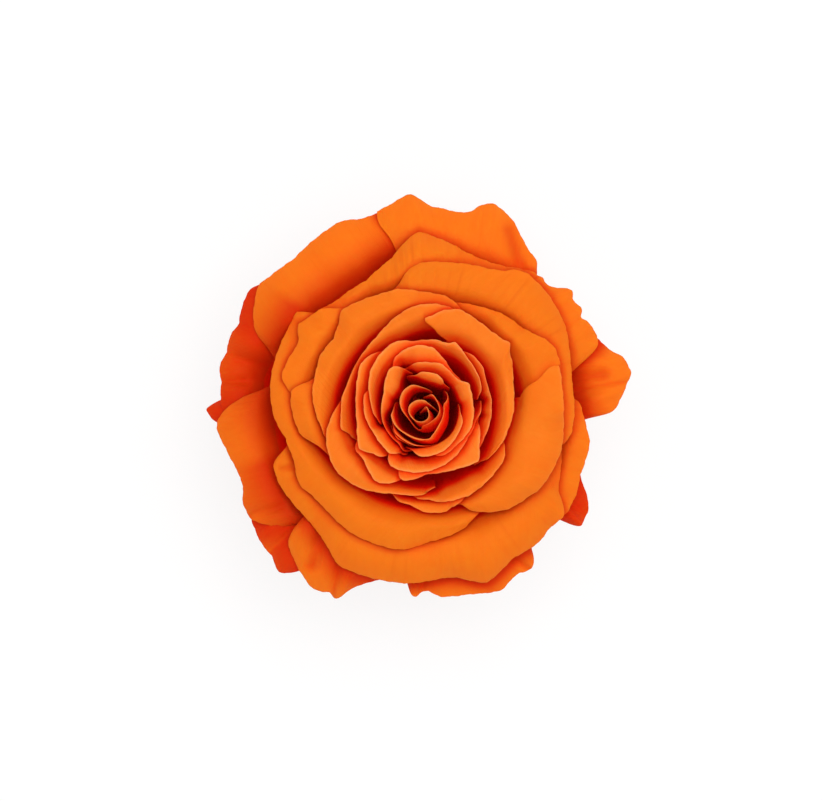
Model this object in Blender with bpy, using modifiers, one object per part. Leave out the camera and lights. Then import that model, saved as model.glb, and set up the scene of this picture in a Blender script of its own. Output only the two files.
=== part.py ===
"""A preserved rose head: a turned receptacle with a cut stub, five sepals and 43 petals.

Run with: blender --background --python part.py

Lengths in the tables are millimetres and angles are degrees, counterclockwise from +X about the
flower's axis. Every petal follows one family of profiles, which fit inside each other:

    wall    r = base + (crest - base) * (1 - (1 - h)^power),  z = foot + (top - foot) * h
    margin  r = crest + s,  z = top + cup * (1 - exp(-s / length)) - slope * s - droop * s^2

with h from 0 to 1 and s from 0 to the rim. So a petal is a crest line and a rim line, each given
as a radius at a few angles. Petals are placed from the inside out, and each crest line moves out
where it must, to clear those inside it.
"""

import bmesh
import bpy
import numpy as np

MM = 0.001

# Receptacle: profile from the cut face up to the dome that carries the petals.
STUB_RADIUS = 3.8
STUB_TOP = 5.5
STUB_FLARE = 1.0
STUB_FLARE_HEIGHT = 1.8
HIP_RADIUS = 7.2
HIP_HEIGHT = 12.0
HIP_SHOULDER = 0.3
HIP_SHOULDER_HEIGHT = 1.0
HIP_WAIST = 0.8
HIP_WAIST_DROP = 2.5
DOME_TOP = 16.0
DOME_FALL = 0.0245
DOME_POWER = 2.5
DOME_RADII = (0.0, 1.5, 3.0, 4.2, 5.2, 6.2)
SCREW_STEPS = 32
SCREW_MERGE = 0.00001

# Petals: thickness, the room between their bases, and the rows and columns of their grids.
HEART_THICKNESS = 0.18
PETAL_THICKNESS = 0.30
BASE_GAP = 0.40
FIRST_BASE = 0.8
BASE_ROOM = 0.10
BASE_CLEARANCE = 8.0
COLUMN_WIDTH = 12.0
FEWEST_COLUMNS = 8
MOST_COLUMNS = 11
ROLL_COLUMN_WIDTH = 19.0
SAMPLES = 181
PLACES = np.linspace(0.0, 1.0, SAMPLES)
WALL_ROWS = (0.0, 0.2, 0.48, 0.78, 1.0)
MARGIN_ROWS = (0.3, 0.65, 1.0)
TURNS = (-720, -360, 0, 360, 720)

# The family of profiles.
WALL_POWER = 2.2
MARGIN_UNIT = 10.0
SHOULDER_UNIT = 20.0
SHORTEST_LIP = 0.06
KEPT_LIP = 0.25
BULGE = 0.5
BULGE_END = 6.5
BULGE_SHARE = 0.12
CLAW_END = 0.75
SIDE_FADE = 0.08

# Height of the rims by crest radius: a dome, a little hollow in the middle.
CANOPY = (
    (0.0, 40.4), (2.0, 41.2), (3.4, 42.6), (4.4, 43.0), (5.2, 42.8), (6.0, 42.5), (8.0, 41.7),
    (10.0, 41.0), (12.0, 40.2), (14.0, 39.2), (16.0, 37.9), (18.0, 36.2), (20.0, 34.1), (22.0, 31.6),
    (24.0, 28.7), (27.0, 24.0),
)
# The crest lies this much lower, and its margin climbs from there to the rim over this length.
CUP_DEPTH = (
    (0.0, 0.0), (2.0, 0.2), (4.0, 0.7), (6.0, 1.6), (8.0, 2.4), (11.0, 2.8), (13.0, 2.3), (16.0, 2.2),
    (19.0, 3.2), (22.0, 4.2), (26.0, 4.5),
)
CUP_LENGTH = (
    (0.0, 0.5), (4.0, 0.7), (6.0, 1.0), (8.0, 1.3), (11.0, 1.7), (14.0, 1.8), (18.0, 2.4), (22.0, 3.2),
    (26.0, 3.6),
)
# Margins by crest radius: their fall, and how fast they bend further down. Inner ones rise.
MARGIN_SLOPE = ((0.0, -0.2), (8.0, -0.15), (12.0, -0.05), (16.0, 0.0), (22.0, 0.0))
MARGIN_DROOP = ((8.0, 0.0), (12.0, 0.012), (16.0, 0.03), (22.0, 0.03))
# Room between one crest line and the next, by radius.
CREST_ROOM = ((0.0, 0.42), (3.0, 0.45), (5.0, 0.54), (8.0, 0.70), (14.0, 0.95), (24.0, 1.1))
# Width of a petal's base as a share of its full width, by crest radius.
CLAW_SHARE = ((0.0, 0.75), (4.0, 0.6), (8.0, 0.4), (14.0, 0.32), (24.0, 0.36))

SEPALS = 5
SEPAL_THICKNESS = 0.7
SEPAL_PROFILE = ((7.6, 11.2), (9.3, 10.9), (11.6, 9.2), (13.8, 6.2), (15.6, 2.9), (17.0, 0.25))
SEPAL_HALF_WIDTH = (2.5, 3.1, 2.8, 2.1, 1.2, 0.35)

# Colours, linear, and roughness.
PETAL_COLOUR = (0.95, 0.17, 0.008)
PETAL_ROUGHNESS = 0.6
CALYX_COLOUR = (0.16, 0.15, 0.05)
CALYX_ROUGHNESS = 0.75

# name, crest line, rim line: from the heart outward, (angle, radius) pairs.
PETALS = (
    ("petal_heart_1",
     ((-390, 2.25), (-365, 2.05), (-340, 1.85), (-300, 1.7), (-270, 1.75), (-240, 2.0), (-210, 2.2),
      (-195, 2.1), (-150, 1.6), (-90, 1.4), (0, 1.2)),
     ((-390, 2.2), (-340, 1.95), (-210, 2.35), (-150, 1.75), (0, 1.3))),
    ("petal_heart_2",
     ((75, 4.0), (95, 4.2), (110, 4.3), (135, 4.15), (148, 3.7), (164, 3.15), (186, 2.55), (230, 2.4),
      (270, 2.3), (300, 2.35), (360, 2.5), (405, 2.8), (432, 3.2), (470, 3.3)),
     ((75, 4.1), (95, 4.35), (135, 4.3), (164, 3.3), (230, 2.5), (300, 2.5), (405, 3.0), (470, 3.4))),
    ("petal_heart_3",
     ((-210, 4.8), (-180, 4.25), (-150, 3.95), (-120, 3.5), (-90, 3.6), (-62, 3.15), (-42, 2.95),
      (0, 2.9), (18, 3.2), (26, 3.65), (40, 4.45), (55, 4.8)),
     ((-210, 4.7), (-180, 4.35), (-120, 3.6), (-62, 3.3), (0, 3.05), (26, 3.8), (55, 4.8))),
    ("petal_bud_top",
     ((28, 5.9), (45, 5.6), (57, 5.2), (72, 4.85), (100, 4.75), (118, 4.6)),
     ((28, 5.3), (45, 6.1), (57, 5.9), (72, 5.7), (84, 5.8), (100, 6.1), (112, 6.3), (118, 5.6))),
    ("petal_heart_4",
     ((105, 5.0), (150, 4.8), (200, 4.6), (250, 4.5), (275, 4.4), (295, 3.9)),
     ((105, 4.4), (118, 5.1), (200, 4.7), (250, 4.6), (285, 4.3), (295, 3.5))),
    ("petal_heart_5",
     ((172, 5.1), (225, 5.15), (258, 4.95)),
     ((172, 4.5), (185, 5.2), (225, 5.3), (250, 5.1), (258, 4.5))),
    ("petal_bud_low",
     ((225, 5.4), (260, 5.1), (280, 4.75), (300, 4.9), (320, 5.2), (340, 5.3), (360, 5.5), (378, 5.7)),
     ((225, 5.0), (236, 6.6), (260, 6.35), (280, 6.2), (300, 6.3), (320, 6.0), (340, 5.9), (365, 6.1),
      (378, 5.2))),
    ("petal_bud_left",
     ((88, 6.0), (105, 5.6), (125, 5.2), (150, 5.3), (170, 5.7), (225, 5.7), (258, 5.5)),
     ((96, 8.8), (105, 9.05), (112, 8.85), (120, 8.3), (130, 7.75), (140, 7.0), (150, 6.3),
      (160, 6.0), (200, 5.65), (240, 5.5), (258, 4.8))),
    ("petal_bud_right",
     ((275, 5.5), (300, 5.5), (330, 5.6), (360, 5.75), (390, 6.2), (405, 6.4), (420, 6.6)),
     ((275, 5.0), (285, 7.0), (300, 6.65), (320, 6.65), (340, 7.1), (350, 7.4), (375, 7.5), (385, 7.75),
      (393, 8.05), (397, 7.45), (405, 7.3), (420, 6.0))),
    ("petal_bud_upper",
     ((25, 6.7), (40, 6.5), (75, 6.5), (100, 6.8), (115, 7.0), (135, 7.2)),
     ((25, 6.0), (37, 7.4), (50, 7.25), (60, 7.7), (70, 8.55), (80, 9.5), (90, 9.8), (100, 9.7),
      (115, 9.05), (128, 7.4), (135, 6.5))),
    ("petal_cup_top",
     ((14, 8.6), (30, 9.05), (50, 9.5), (60, 9.6), (80, 9.3), (100, 8.9), (120, 8.4), (140, 7.8),
      (160, 7.2), (180, 6.7), (195, 6.5)),
     ((14, 8.0), (20, 9.15), (30, 9.6), (50, 10.25), (57, 10.7), (65, 11.4), (69, 10.7), (80, 10.75),
      (96, 10.4), (110, 11.05), (120, 10.7), (130, 10.2), (140, 9.65), (150, 8.9), (160, 8.1),
      (170, 7.45), (180, 7.0), (195, 6.0))),
    ("petal_cup_left_inner",
     ((152, 7.9), (170, 7.5), (185, 7.3), (200, 6.7), (215, 6.4), (230, 6.3), (250, 6.4)),
     ((152, 7.0), (162, 8.8), (185, 8.2), (200, 7.6), (215, 7.4), (230, 7.45), (240, 7.15), (250, 6.0))),
    ("petal_cup_low",
     ((222, 6.9), (236, 7.0), (265, 7.0), (280, 6.8), (300, 6.4), (320, 6.2), (345, 6.5), (372, 6.9)),
     ((222, 6.0), (232, 8.6), (240, 8.9), (250, 8.75), (270, 8.5), (285, 8.2), (300, 7.95), (320, 7.6),
      (330, 7.45), (345, 7.7), (360, 8.05), (368, 8.6), (372, 7.4))),
    ("petal_cup_left",
     ((115, 10.3), (130, 10.0), (140, 9.5), (150, 9.0), (170, 8.6), (190, 8.0), (200, 7.6), (215, 7.4),
      (234, 7.5)),
     ((115, 9.0), (125, 10.9), (133, 11.25), (140, 11.4), (146, 11.05), (150, 10.7), (160, 10.1),
      (170, 9.7), (180, 9.5), (190, 9.5), (197, 9.8), (205, 10.2), (210, 10.4), (213, 10.1), (220, 9.0),
      (228, 8.9), (234, 7.0))),
    ("petal_cup_low_outer",
     ((240, 7.5), (270, 7.6), (290, 7.5), (310, 7.2), (330, 7.1), (358, 7.4)),
     ((240, 6.5), (250, 10.2), (258, 9.9), (265, 9.5), (270, 9.0), (275, 8.8), (285, 8.9), (300, 9.35),
      (310, 9.95), (315, 10.3), (319, 10.75), (325, 10.1), (330, 9.5), (337, 9.0), (352, 8.4),
      (358, 7.0))),
    ("petal_cup_right",
     ((310, 8.7), (340, 8.7), (360, 8.8), (380, 9.2), (400, 9.5), (425, 9.8)),
     ((310, 7.0), (325, 9.65), (340, 9.65), (360, 10.0), (385, 10.25), (390, 10.5), (398, 11.05),
      (410, 11.1), (416, 10.7), (425, 9.0))),
    ("petal_cup_lower_left",
     ((195, 9.2), (260, 9.2)),
     ((195, 8.0), (205, 10.7), (209, 11.0), (215, 10.75), (222, 10.95), (228, 11.4), (234, 11.85),
      (239, 11.8), (243, 11.4), (252, 10.2), (260, 8.0))),
    ("petal_ring_right",
     ((315, 11.3), (330, 11.3), (345, 11.0), (360, 11.0), (370, 11.25), (380, 11.5), (390, 11.7),
      (415, 11.7), (424, 11.3), (431, 10.9)),
     ((315, 9.0), (326, 11.4), (335, 12.1), (340, 12.4), (350, 12.7), (360, 13.2), (370, 13.5),
      (380, 14.0), (385, 14.5), (390, 15.0), (395, 15.4), (399, 16.4), (402, 15.8), (410, 15.5),
      (420, 15.65), (430, 16.0), (438, 15.2), (444, 14.2), (448, 13.7))),
    ("petal_ring_top",
     ((60, 13.0), (75, 12.9), (90, 12.4), (107, 11.4), (140, 11.3), (165, 10.9), (180, 10.6),
      (208, 10.2)),
     ((60, 11.0), (70, 15.0), (75, 15.9), (85, 15.9), (95, 15.5), (100, 15.0), (105, 14.5), (112, 13.7),
      (120, 12.9), (130, 12.35), (140, 11.95), (150, 11.65), (160, 11.5), (168, 11.8), (180, 11.7),
      (191, 12.0), (194, 11.1), (198, 10.6), (208, 9.0))),
    ("petal_ring_left",
     ((165, 11.6), (185, 11.2), (200, 10.9), (215, 10.7), (230, 10.9), (262, 11.2), (280, 11.3)),
     ((165, 10.0), (176, 12.4), (183, 13.2), (190, 14.0), (197, 14.5), (205, 14.8), (213, 15.0),
      (220, 14.7), (230, 14.1), (240, 13.2), (247, 12.6), (253, 12.2), (270, 11.8), (280, 10.0))),
    ("petal_ring_low",
     ((255, 11.8), (280, 11.5), (310, 11.5), (330, 11.9), (345, 12.2)),
     ((255, 10.0), (268, 11.9), (273, 12.2), (277, 12.7), (283, 13.2), (295, 13.5), (300, 13.7),
      (320, 13.6), (332, 13.6), (337, 13.0), (345, 11.0))),
    ("petal_ring_low_outer",
     ((240, 12.2), (285, 12.3), (310, 12.6)),
     ((240, 11.0), (252, 12.1), (260, 12.9), (265, 13.5), (270, 14.2), (275, 14.5), (284, 14.7),
      (287, 14.3), (294, 14.0), (302, 13.0), (310, 11.5))),
    ("petal_mid_top",
     ((55, 14.8), (80, 14.4), (110, 13.9), (120, 13.7), (140, 13.3), (180, 13.2), (210, 13.3)),
     ((55, 13.0), (66, 15.6), (70, 16.1), (73, 16.7), (78, 17.3), (90, 17.6), (101, 18.3), (110, 18.3),
      (122, 18.7), (128, 19.0), (133, 17.7), (140, 16.75), (150, 17.0), (160, 16.45), (170, 16.15),
      (180, 15.4), (187, 14.8), (193, 14.5), (210, 12.5))),
    ("petal_mid_left",
     ((150, 14.9), (170, 14.6), (185, 14.4), (212, 14.3)),
     ((150, 13.5), (160, 16.0), (164, 16.8), (167, 18.2), (170, 19.2), (175, 19.15), (180, 18.8),
      (185, 18.4), (190, 17.9), (193, 17.1), (197, 15.8), (205, 14.5), (212, 13.0))),
    ("petal_mid_low_right",
     ((280, 13.9), (300, 13.5), (330, 13.3), (345, 13.1), (360, 13.5), (369, 14.2)),
     ((280, 12.5), (290, 13.8), (294, 14.2), (296, 15.6), (300, 16.5), (305, 17.5), (312, 18.7),
      (317, 19.2), (322, 19.6), (327, 20.3), (335, 20.6), (345, 20.9), (359, 20.5), (370, 20.6),
      (379, 21.0))),
    ("petal_mid_right",
     ((-14, 15.0), (20, 15.3), (60, 15.1), (90, 15.0)),
     ((-14, 13.0), (-8, 18.0), (0, 20.0), (10, 20.5), (15, 20.9), (20, 21.3), (26, 21.5), (31, 20.9),
      (33, 20.3), (40, 19.1), (50, 18.6), (60, 17.7), (73, 16.75), (82, 15.4), (90, 13.0))),
    ("petal_fan_upper_right",
     ((-25, 17.2), (0, 17.0), (30, 17.6), (45, 17.6), (60, 17.0), (75, 16.4), (90, 16.0), (115, 16.3)),
     ((-25, 15.8), (-16, 19.5), (-12, 21.2), (-8, 21.9), (0, 22.15), (10, 22.2), (15, 22.5),
      (20, 22.95), (25, 23.55), (30, 24.3), (35, 24.7), (45, 25.3), (53, 25.45), (57, 24.9),
      (60, 23.8), (65, 23.1), (80, 22.2), (90, 21.9), (95, 21.1), (100, 19.0), (108, 17.4),
      (115, 15.0))),
    ("petal_fan_left",
     ((112, 17.2), (130, 16.7), (150, 16.2), (190, 16.1)),
     ((112, 15.5), (122, 18.2), (128, 19.2), (132, 20.5), (135, 21.2), (141, 21.65), (144, 22.2),
      (146, 21.8), (149, 20.9), (151, 20.6), (160, 21.0), (165, 21.1), (167, 20.8), (169, 20.0),
      (172, 19.0), (178, 17.5), (190, 15.0))),
    ("petal_fan_upper",
     ((42, 18.8), (60, 18.6), (80, 18.3), (100, 17.9), (115, 17.7), (145, 18.0)),
     ((42, 17.5), (50, 24.8), (55, 25.6), (60, 24.6), (65, 24.1), (70, 24.05), (75, 24.3), (80, 25.0),
      (85, 25.6), (91, 26.5), (95, 25.3), (98, 24.1), (101, 23.0), (105, 22.2), (113, 20.9),
      (128, 20.55), (136, 21.3), (140, 19.5), (145, 17.0))),
    ("petal_fan_lower_left",
     ((133, 18.9), (150, 18.2), (165, 17.5), (180, 16.8), (197, 15.6), (215, 15.2), (230, 14.6),
      (260, 14.4), (275, 14.6), (290, 15.2), (312, 16.4)),
     ((133, 17.5), (137, 21.0), (141, 23.55), (147, 23.1), (165, 22.65), (172, 22.3), (181, 21.6),
      (185, 21.05), (190, 20.2), (200, 19.8), (208, 20.5), (211, 20.6), (217, 19.9), (225, 19.75),
      (240, 20.2), (260, 20.1), (265, 19.7), (273, 18.7), (285, 18.1), (290, 17.8), (299, 16.6),
      (312, 15.0))),
    ("petal_fan_low",
     ((190, 19.1), (205, 18.7), (220, 18.0), (240, 17.3), (280, 17.0), (320, 17.6), (352, 18.2)),
     ((190, 17.5), (196, 21.0), (198, 22.7), (201, 23.1), (207, 23.25), (213, 23.0), (222, 22.75),
      (228, 22.95), (233, 23.5), (237, 24.3), (241, 25.3), (265, 24.9), (275, 24.3), (279, 24.2),
      (283, 24.6), (286, 25.4), (291, 26.5), (297, 25.6), (302, 24.9), (312, 25.4), (318, 25.0),
      (324, 25.6), (327, 24.5), (330, 22.8), (335, 22.1), (345, 21.0), (352, 17.5))),
    ("petal_fan_low_right",
     ((308, 20.2), (330, 20.0), (350, 19.8), (372, 19.6)),
     ((308, 18.5), (318, 24.0), (325, 25.7), (333, 25.4), (338, 24.8), (350, 24.9), (353, 24.4),
      (358, 23.7), (364, 23.0), (372, 18.5))),
    ("petal_outer_bottom_left",
     ((217, 20.4), (235, 20.2), (250, 20.3), (270, 20.6)),
     ((217, 19.0), (220, 23.5), (222, 26.3), (225, 27.3), (228, 28.1), (231, 28.9), (238, 30.3),
      (243, 29.5), (246, 29.1), (248, 27.8), (251, 26.5), (254, 25.4), (257, 24.9), (265, 24.6),
      (270, 19.5))),
    ("petal_outer_left_low",
     ((168, 21.6), (185, 21.5), (215, 21.3), (228, 21.4)),
     ((168, 20.0), (174, 25.5), (178, 28.3), (182, 30.0), (185, 30.1), (190, 29.2), (197, 28.3),
      (202, 28.2), (207, 29.4), (212, 29.5), (218, 27.0), (228, 20.0))),
    ("petal_outer_corner",
     ((202, 22.6), (218, 22.5), (243, 22.5)),
     ((202, 21.5), (208, 28.0), (212, 29.5), (219, 30.3), (224, 30.1), (228, 31.1), (231, 29.6),
      (236, 26.5), (243, 21.5))),
    ("petal_outer_upper_right",
     ((10, 20.6), (40, 20.4), (66, 20.5)),
     ((10, 19.5), (16, 26.5), (20, 27.9), (27, 27.85), (31, 27.05), (32.5, 27.85), (37.5, 27.55),
      (39, 28.4), (43, 26.9), (47, 26.2), (52, 26.2), (58, 25.0), (66, 19.5))),
    ("petal_outer_top",
     ((38, 21.7), (75, 21.4), (95, 21.4)),
     ((38, 20.5), (48, 25.0), (52, 26.3), (53, 27.5), (56, 28.2), (60, 29.1), (65, 31.1), (71, 32.2),
      (74.5, 31.1), (75.5, 30.2), (80, 29.8), (88, 30.3), (91.5, 31.7), (93.5, 32.2), (98, 31.0),
      (102.5, 30.2))),
    ("petal_outer_upper_left",
     ((88, 22.3), (105, 21.3), (120, 20.8), (140, 20.6), (168, 21.0)),
     ((88, 21.5), (96, 28.0), (102.5, 30.0), (107, 29.7), (113, 30.5), (120, 30.0), (130, 29.3),
      (138, 29.9), (142, 30.4), (147, 29.2), (150, 28.5), (153, 27.5), (155, 26.3), (157, 24.5),
      (160, 22.5), (168, 20.0))),
    ("petal_outer_right",
     ((-12, 21.8), (15, 21.8), (40, 22.0)),
     ((-12, 20.5), (-4, 22.8), (-2, 23.7), (-1, 25.6), (0, 27.05), (1.5, 28.2), (4, 29.1), (8, 30.1),
      (11, 31.0), (16, 30.5), (18, 29.1), (23, 27.9), (30, 25.0), (40, 21.0))),
    ("petal_outer_left_top",
     ((130, 22.4), (160, 22.3), (190, 22.5)),
     ((130, 21.0), (138, 28.0), (142, 30.55), (145, 31.1), (151, 30.4), (154, 29.8), (158, 30.3),
      (163, 30.0), (167, 30.55), (171, 29.8), (178, 29.5), (183, 28.0), (190, 21.5))),
    ("petal_outer_left_tip",
     ((166, 23.8), (178, 23.8), (192, 23.8)),
     ((166, 22.5), (174, 27.0), (177, 29.8), (179, 31.6), (181, 30.6), (184, 28.5), (192, 22.5))),
    ("petal_outer_bottom",
     ((254, 21.6), (290, 21.3), (317, 21.6)),
     ((254, 20.0), (263, 24.0), (265.5, 25.0), (266.5, 26.5), (268, 27.0), (272, 25.9), (275, 26.8),
      (285, 27.5), (290, 27.9), (294, 28.4), (300, 27.4), (305, 27.55), (308, 25.3), (312, 24.0),
      (317, 20.5))),
    ("petal_outer_low_right",
     ((312, 22.6), (328, 22.6), (344, 22.6)),
     ((312, 21.5), (320, 25.0), (323, 26.6), (324.5, 28.5), (330, 28.1), (333, 26.8), (338, 25.0),
      (344, 21.5))),
)


def at(table, where):
    """Value of a table of (place, value) pairs, read linearly between them."""
    places, values = zip(*table)
    return np.interp(where, places, values)


def dome(radius):
    """Height of the receptacle's dome at a radius."""
    return DOME_TOP - DOME_FALL * radius**DOME_POWER


def clear_scene():
    for item in list(bpy.data.objects):
        bpy.data.objects.remove(item, do_unlink=True)


def make_material(name, colour, roughness):
    material = bpy.data.materials.new(name)
    material.use_nodes = True
    surface = material.node_tree.nodes["Principled BSDF"]
    surface.inputs["Base Color"].default_value = (*colour, 1.0)
    surface.inputs["Roughness"].default_value = roughness
    surface.inputs["Metallic"].default_value = 0.0
    return material


def add_object(name, mesh, material, collection):
    item = bpy.data.objects.new(name, mesh)
    collection.objects.link(item)
    mesh.materials.append(material)
    return item


class Petal:
    """A petal's settled crest line, its rim and its place on the receptacle."""

    def __init__(self, name, crest, rim):
        self.name = name
        self.start, self.end = crest[0][0], crest[-1][0]
        self.middle = (self.start + self.end) / 2
        self.half_span = (self.end - self.start) / 2
        self.angles = np.linspace(self.start, self.end, SAMPLES)
        self.rim_angles = np.linspace(rim[0][0], rim[-1][0], SAMPLES)
        self.drawn = at(crest, self.angles)
        self.crest = self.drawn.copy()
        self.rim = at(rim, self.rim_angles)
        mean = float(self.crest.mean())
        self.claw = at(CLAW_SHARE, mean)
        self.thickness = HEART_THICKNESS if mean < BULGE_END else PETAL_THICKNESS
        self.base = FIRST_BASE
        narrow = np.clip(2 * self.half_span / COLUMN_WIDTH, FEWEST_COLUMNS, MOST_COLUMNS)
        self.columns = int(max(narrow, 2 * self.half_span / ROLL_COLUMN_WIDTH))
        self.shares = np.linspace(0.0, 1.0, self.columns + 1)
        tip = float(np.argmax(self.rim)) / (SAMPLES - 1)
        nearest = 1 + int(np.argmin(abs(self.shares[1:-1] - tip)))
        self.shares[nearest] = np.clip(tip, 0.5 / self.columns, 1 - 0.5 / self.columns)

    def outermost(self, angle):
        """This petal's crest radius at an angle, or a value fading away past its side edges."""
        best = 0.0
        for turn in TURNS:
            here = angle + turn
            past = max(self.start - here, here - self.end, 0.0)
            radius = np.interp(here, self.angles, self.crest) - SIDE_FADE * past
            best = max(best, radius)
        return best

    def settle(self, placed):
        """Moves the crest line and the base out, past the petals already placed."""
        for index, angle in enumerate(self.angles):
            for other in placed:
                radius = other.outermost(angle)
                self.crest[index] = max(self.crest[index], radius + at(CREST_ROOM, radius))
        for other in placed:
            apart = abs((self.middle - other.middle + 180) % 360 - 180)
            bases = self.half_span * self.claw + other.half_span * other.claw
            if apart < bases + BASE_CLEARANCE:
                step = (self.thickness + other.thickness) / 2 + BASE_ROOM
                self.base = max(self.base, other.base + step)
            elif apart < self.half_span + other.half_span:
                self.base = max(self.base, other.base)

    def reach(self, place):
        """Length of the profile at a place across: 1 ends it at the crest, more adds a margin."""
        drawn = np.interp(place, PLACES, self.rim - self.drawn)
        left = np.interp(place, PLACES, self.rim - self.crest)
        length = max(left, min(drawn, KEPT_LIP))
        return 1 + length / (MARGIN_UNIT if length > 0 else SHOULDER_UNIT)

    def point(self, across, up):
        """Position on the petal for two shares from 0 to 1: across its width and up its length."""
        place = np.interp(across, np.linspace(0.0, 1.0, self.columns + 1), self.shares)
        reach = self.reach(place)
        shoulder = min(1.0, reach - SHORTEST_LIP)
        rows = [shoulder * row for row in WALL_ROWS]
        rows += [shoulder + (reach - shoulder) * row for row in MARGIN_ROWS]
        along = np.interp(up * (len(rows) - 1), range(len(rows)), rows)
        rise = min(along, 1.0)
        margin = max(along - 1.0, 0.0) * MARGIN_UNIT
        edge = np.interp(place, PLACES, self.angles)
        share = min(rise / CLAW_END, 1.0)
        width = self.claw + (1 - self.claw) * share * share * (3 - 2 * share)
        angle = self.middle + (edge - self.middle) * width
        if margin > 0:
            out = (along - 1.0) / (reach - 1.0)
            angle += (np.interp(place, PLACES, self.rim_angles) - edge) * out
            crest = np.interp(place, PLACES, self.crest)
        else:
            crest = np.interp(angle, self.angles, self.crest)
        cup = at(CUP_DEPTH, crest)
        top = at(CANOPY, crest) - cup
        foot = dome(self.base) + BASE_GAP
        bulge = BULGE * np.sin(np.pi * min(crest / BULGE_END, 1.0))
        bulge *= min((1 - rise) / BULGE_SHARE, 1.0)
        radius = self.base + (crest + bulge - self.base) * (1 - (1 - rise) ** WALL_POWER) + margin
        height = foot + (top - foot) * rise + cup * (1 - np.exp(-margin / at(CUP_LENGTH, crest)))
        height -= at(MARGIN_SLOPE, crest) * margin + at(MARGIN_DROOP, crest) * margin**2
        turn = np.radians(angle)
        return radius * np.cos(turn) * MM, radius * np.sin(turn) * MM, height * MM


def solid_sheet(name, place, columns, rows, thickness, material, collection):
    """A grid moved by place(across, up) and given a thickness."""
    shape = bmesh.new()
    bmesh.ops.create_grid(shape, x_segments=columns, y_segments=rows, size=0.5)
    for corner in shape.verts:
        corner.co = place(corner.co.x + 0.5, corner.co.y + 0.5)
    mesh = bpy.data.meshes.new(name)
    shape.to_mesh(mesh)
    shape.free()
    mesh.shade_smooth()
    item = add_object(name, mesh, material, collection)
    shell = item.modifiers.new("thickness", "SOLIDIFY")
    shell.thickness = thickness * MM
    shell.offset = 0.0
    return item


def build_petals(material, collection):
    placed = []
    for name, crest, rim in PETALS:
        petal = Petal(name, crest, rim)
        petal.settle(placed)
        placed.append(petal)
        rows = len(WALL_ROWS) + len(MARGIN_ROWS) - 1
        solid_sheet(name, petal.point, petal.columns, rows, petal.thickness, material, collection)


def build_sepals(material, collection):
    """Five narrow leaves that bend down from the hip until their tips reach the surface."""
    stations = np.linspace(0, 1, len(SEPAL_PROFILE))
    radii, heights = zip(*SEPAL_PROFILE)
    for number in range(SEPALS):
        turn = 2 * np.pi * number / SEPALS
        out = np.array((np.cos(turn), np.sin(turn)))
        side = np.array((-np.sin(turn), np.cos(turn)))

        def place(across, up, out=out, side=side):
            half = np.interp(up, stations, SEPAL_HALF_WIDTH)
            x, y = out * np.interp(up, stations, radii) + side * half * (2 * across - 1)
            return x * MM, y * MM, np.interp(up, stations, heights) * MM

        name = f"sepal_{number + 1}"
        solid_sheet(name, place, 2, len(stations) - 1, SEPAL_THICKNESS, material, collection)


def build_receptacle(material, collection):
    """The hip and its cut stub: one profile turned about the flower's axis."""
    profile = [(radius, dome(radius)) for radius in DOME_RADII]
    profile += [
        (HIP_RADIUS - HIP_SHOULDER, HIP_HEIGHT + HIP_SHOULDER_HEIGHT),
        (HIP_RADIUS, HIP_HEIGHT),
        (HIP_RADIUS - HIP_WAIST, HIP_HEIGHT - HIP_WAIST_DROP),
        (STUB_RADIUS + STUB_FLARE, STUB_TOP + STUB_FLARE_HEIGHT),
        (STUB_RADIUS, STUB_TOP),
        (STUB_RADIUS, 0.0),
        (0.0, 0.0),
    ]
    shape = bmesh.new()
    corners = [shape.verts.new((radius * MM, 0.0, height * MM)) for radius, height in profile]
    for first, second in zip(corners, corners[1:]):
        shape.edges.new((first, second))
    mesh = bpy.data.meshes.new("receptacle")
    shape.to_mesh(mesh)
    shape.free()
    item = add_object("receptacle", mesh, material, collection)
    screw = item.modifiers.new("turn", "SCREW")
    screw.steps = SCREW_STEPS
    screw.render_steps = SCREW_STEPS
    screw.use_merge_vertices = True
    screw.merge_threshold = SCREW_MERGE
    screw.use_smooth_shade = True


def centre(collection):
    """Moves the flower so that its bounding box stands over the origin."""
    graph = bpy.context.evaluated_depsgraph_get()
    corners = []
    for item in collection.objects:
        mesh = item.evaluated_get(graph).to_mesh()
        corners += [tuple(vertex.co) for vertex in mesh.vertices]
        item.evaluated_get(graph).to_mesh_clear()
    corners = np.array(corners)
    middle = (corners.min(axis=0) + corners.max(axis=0)) / 2
    for item in collection.objects:
        item.location = (-middle[0], -middle[1], 0.0)


def main():
    clear_scene()
    collection = bpy.data.collections.new("preserved_rose_head")
    bpy.context.scene.collection.children.link(collection)
    petal = make_material("petal_orange", PETAL_COLOUR, PETAL_ROUGHNESS)
    green = make_material("calyx_olive", CALYX_COLOUR, CALYX_ROUGHNESS)
    build_receptacle(green, collection)
    build_sepals(green, collection)
    build_petals(petal, collection)
    centre(collection)


main()
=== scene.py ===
# %% [markdown]
# # A preserved rose head
# A preserved rose is a real bloom whose sap was replaced with glycerine and dye, so it stays soft
# and keeps its colour. This one is wide open and seen best from above: of its 43 petals the
# innermost are rolled into a small heart, those around it stand up, and the outer ones lie back
# over five sepals and a hip with a cut stub. The lesson dresses the plain solids of that flower
# with fine petals.
#
# First the solids are loaded. They give the flower's place and size, which the pieces made below
# keep to within about half a millimetre.

# %% Load the solids
import math

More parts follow.
